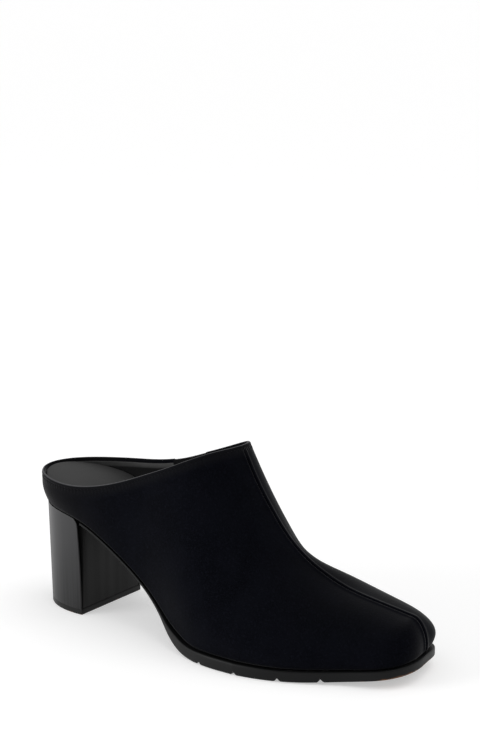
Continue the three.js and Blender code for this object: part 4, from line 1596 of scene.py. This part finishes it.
# The heel's lowest edge is drawn in by FOOT_IN millimetres, less and less up to this share of its
# height
FOOT_SHARE_OF_HEEL = 0.01
FOOT_IN = 0.08
# The rim's upper end is rounded over levels at these shares of the rounding
RIM_LEVELS = np.array([1, 0.8, 0.6, 0.42, 0.26, 0.13, 0.05, 0])
# The breast begins at this point of half an outline
BREAST_FROM = COVER_POINTS + 3
# Between the heel and its top lift, in millimetres
LIFT_GAP = 0.02


class MULE_OT_heel(bpy.types.Operator):
    """The lacquered block heel"""

    bl_idname = "mule.heel"
    bl_label = "Heel"

    def execute(self, context):
        sizes = sizes_of("mule_units")
        bottom = LIFT_THICKNESS + LIFT_GAP
        height = HEEL_HEIGHT - bottom
        round_top = sizes.rim_round
        high = 1 - round_top * RIM_LEVELS / height
        levels = np.concatenate([[0, 0.004, 0.012], np.linspace(0.05, 0.88, 12), high])
        loops = []
        for level in levels:
            foot = min(1, level / FOOT_SHARE_OF_HEEL)
            in_round = max(0, round_top - (1 - level) * height)
            front = round_top - math.sqrt(max(0, round_top**2 - in_round**2))
            front += lerp(sizes.rim_back_base, sizes.rim_back_top, level**2) * foot
            outline = heel_outline(level, sizes, front, FOOT_IN * (1 - foot))
            top = seat_height(outline[:, 0]) - GAP
            loops.append(with_height(outline, lerp(bottom, top, level)))
        piece = lofted("heel_block", loops, whole_ends=True)
        smooth(piece, math.radians(34))
        inside = (np.arange(len(loops[0]) // 2) >= BREAST_FROM).astype(float)
        inside = np.tile(np.concatenate([inside, inside[::-1]]), len(loops))
        order = nearest(to_frame(np.concatenate(loops)), mesh_places(piece))
        point_values(piece, "breast", inside[order])
        finish_piece(piece, heel_material(sizes_of("mule_finish")), "heel_lacquer", "heel")
        return {"FINISHED"}


# Rings up the top lift: how far each is drawn in and its height, in millimetres
LIFT_RINGS = ((0.3, 0), (0.1, 0.1), (0, 0.35), (0, 1.5), (0, 2.7), (0.03, 2.92), (0.1, 2.99))
# The lift stays this far inside the heel's base, and wears up to this height
LIFT_IN = 0.05
LIFT_WEAR = 1.2


class MULE_OT_top_lift(bpy.types.Operator):
    """The thin rubber lift under the heel"""

    bl_idname = "mule.top_lift"
    bl_label = "Top lift"

    def execute(self, context):
        sizes = sizes_of("mule_units")
        outlines = [heel_outline(0, sizes, 0, inset + LIFT_IN, False) for inset, _ in LIFT_RINGS]
        loops = [with_height(outline, ring[1]) for outline, ring in zip(outlines, LIFT_RINGS)]
        piece = lofted("heel_top_lift", loops, whole_ends=True)
        smooth(piece, math.radians(34))
        height = mesh_places(piece)[:, 2] / MM
        point_values(piece, "wear", 0.6 * np.clip(1 - height / LIFT_WEAR, 0, 1))
        finish = sizes_of("mule_finish")
        material = rubber_material("black_lift_rubber", finish.lift, 0.42, finish.dust)
        finish_piece(piece, material, "lift_rubber", "top_lift")
        return {"FINISHED"}


def add_light(name, kind, place, target, strength, **settings):
    """A light at a place, turned to a target."""
    lamp = bpy.data.lights.new(name, kind)
    lamp.energy = strength
    for setting, value in settings.items():
        setattr(lamp, setting, value)
    light = add_object(name, lamp)
    light.location = place
    light.rotation_mode = "QUATERNION"
    light.rotation_quaternion = (Vector(target) - Vector(place)).to_track_quat("-Z", "Y")


# The camera was placed by the heel's near front corner on the floor: that corner lies this far to
# the left, below and in front of the lens, in metres
CORNER_ON_FLOOR = Vector((-0.08096, -0.01775, 0.0))
LENS_FROM_CORNER = (0.08619, 0.13396, 1.08556)
# Half the floor's width, and where the lights stand or look, in metres
FLOOR_HALF = 20
OVERHEAD_FROM = (0.6, 0.1, 1.1)
OVERHEAD_ANGLE = math.radians(60)
SIDE_LIGHT_AT = (-0.9, -1.1, 0.35)
SIDE_LIGHT_TO = (-0.08, 0, 0.03)


def add_floor():
    """The pale floor."""
    mesh = bpy.data.meshes.new("studio_floor")
    edited(mesh, lambda form: bmesh.ops.create_grid(form, x_segments=4, y_segments=4, size=FLOOR_HALF))
    mesh.materials.append(floor_material(sizes_of("mule_finish")))
    add_object("studio_floor", mesh)


def add_camera(stage):
    """The camera, at the photo's angle."""
    turn, rise = stage.azimuth, stage.elevation
    back = Vector((math.sin(turn) * math.cos(rise), -math.cos(turn) * math.cos(rise), math.sin(rise)))
    right = Vector((math.cos(turn), math.sin(turn), 0))
    up = back.cross(right)
    across, above, away = LENS_FROM_CORNER
    place = CORNER_ON_FLOOR + right * across + up * above + back * away
    data = bpy.data.cameras.new("camera")
    data.lens = stage.lens
    data.sensor_width = SENSOR
    data.sensor_fit = "AUTO"
    data.clip_start, data.clip_end = 0.05, 60
    camera = add_object("camera", data)
    camera.matrix_world = Matrix.Translation(place) @ Matrix((right, up, back)).transposed().to_4x4()
    bpy.context.scene.camera = camera


def add_surround(stage):
    """White all round low down, a white wall behind, a darker room in front and soft light above."""
    world = bpy.data.worlds.new("even_surround")
    bpy.context.scene.world = world
    world.use_nodes = True
    tree = Tree(world.node_tree)
    direction = tree.add("ShaderNodeTexCoord").outputs["Generated"]
    height = tree.axis(direction, "Z")
    to_front = (math.sin(stage.azimuth), -math.cos(stage.azimuth), 0.0)
    front = tree.add("ShaderNodeVectorMath", {0: direction, 1: to_front}, operation="DOT_PRODUCT")
    facing = tree.ramp(front.outputs["Value"], -0.3, 0.7)
    white = (1, 1, 1)
    shade = tree.mix(facing, rgba(white, stage.behind), rgba(white, stage.before))
    shade = tree.mix(tree.ramp(height, 0.4, 0.85), shade, rgba(white, stage.above))
    shade = tree.mix(tree.ramp(height, 0.3, 0.13), shade, rgba(white, stage.horizon))
    sky = tree.add("ShaderNodeBackground", {"Color": shade, "Strength": 1.0})
    tree.add("ShaderNodeOutputWorld", {"Surface": sky.outputs[0]})


class MULE_OT_stage(bpy.types.Operator):
    """The pale floor, the soft studio light and the camera"""

    bl_idname = "mule.stage"
    bl_label = "Stage"

    def execute(self, context):
        stage = sizes_of("mule_stage")
        add_floor()
        add_camera(stage)
        add_light("overhead", "SUN", OVERHEAD_FROM, (0, 0, 0), stage.key, angle=OVERHEAD_ANGLE)
        add_light("heel_side", "AREA", SIDE_LIGHT_AT, SIDE_LIGHT_TO, stage.side, size=0.8)
        add_surround(stage)
        context.scene.view_settings.view_transform = "Standard"
        return {"FINISHED"}


class MULE_PT_panel(bpy.types.Panel):
    """Lists the shoe's pieces and its stage"""

    bl_idname = "MULE_PT_panel"
    bl_label = "Heeled mule"
    bl_space_type = "VIEW_3D"
    bl_region_type = "UI"
    bl_category = "Mule"

    def draw(self, context):
        for operator in OPERATORS:
            self.layout.operator(operator.bl_idname)


GROUPS = {
    "mule_upper": MuleUpperSizes,
    "mule_stitches": MuleStitchSizes,
    "mule_units": MuleUnitSizes,
    "mule_finish": MuleFinish,
    "mule_stage": MuleStage,
}
OPERATORS = [
    MULE_OT_stage,
    MULE_OT_upper,
    MULE_OT_lining,
    MULE_OT_gore,
    MULE_OT_stitches,
    MULE_OT_footbed,
    MULE_OT_outsole,
    MULE_OT_heel,
    MULE_OT_top_lift,
]


def register():
    for group in GROUPS.values():
        bpy.utils.register_class(group)
    for operator in OPERATORS:
        bpy.utils.register_class(operator)
    bpy.utils.register_class(MULE_PT_panel)
    for name, group in GROUPS.items():
        setattr(bpy.types.Scene, name, PointerProperty(type=group))


def unregister():
    for name in GROUPS:
        delattr(bpy.types.Scene, name)
    bpy.utils.unregister_class(MULE_PT_panel)
    for operator in reversed(OPERATORS):
        bpy.utils.unregister_class(operator)
    for group in GROUPS.values():
        bpy.utils.unregister_class(group)


def main():
    register()
    for operator in OPERATORS:
        group, name = operator.bl_idname.split(".")
        getattr(getattr(bpy.ops, group), name)()


if __name__ == "__main__":
    main()
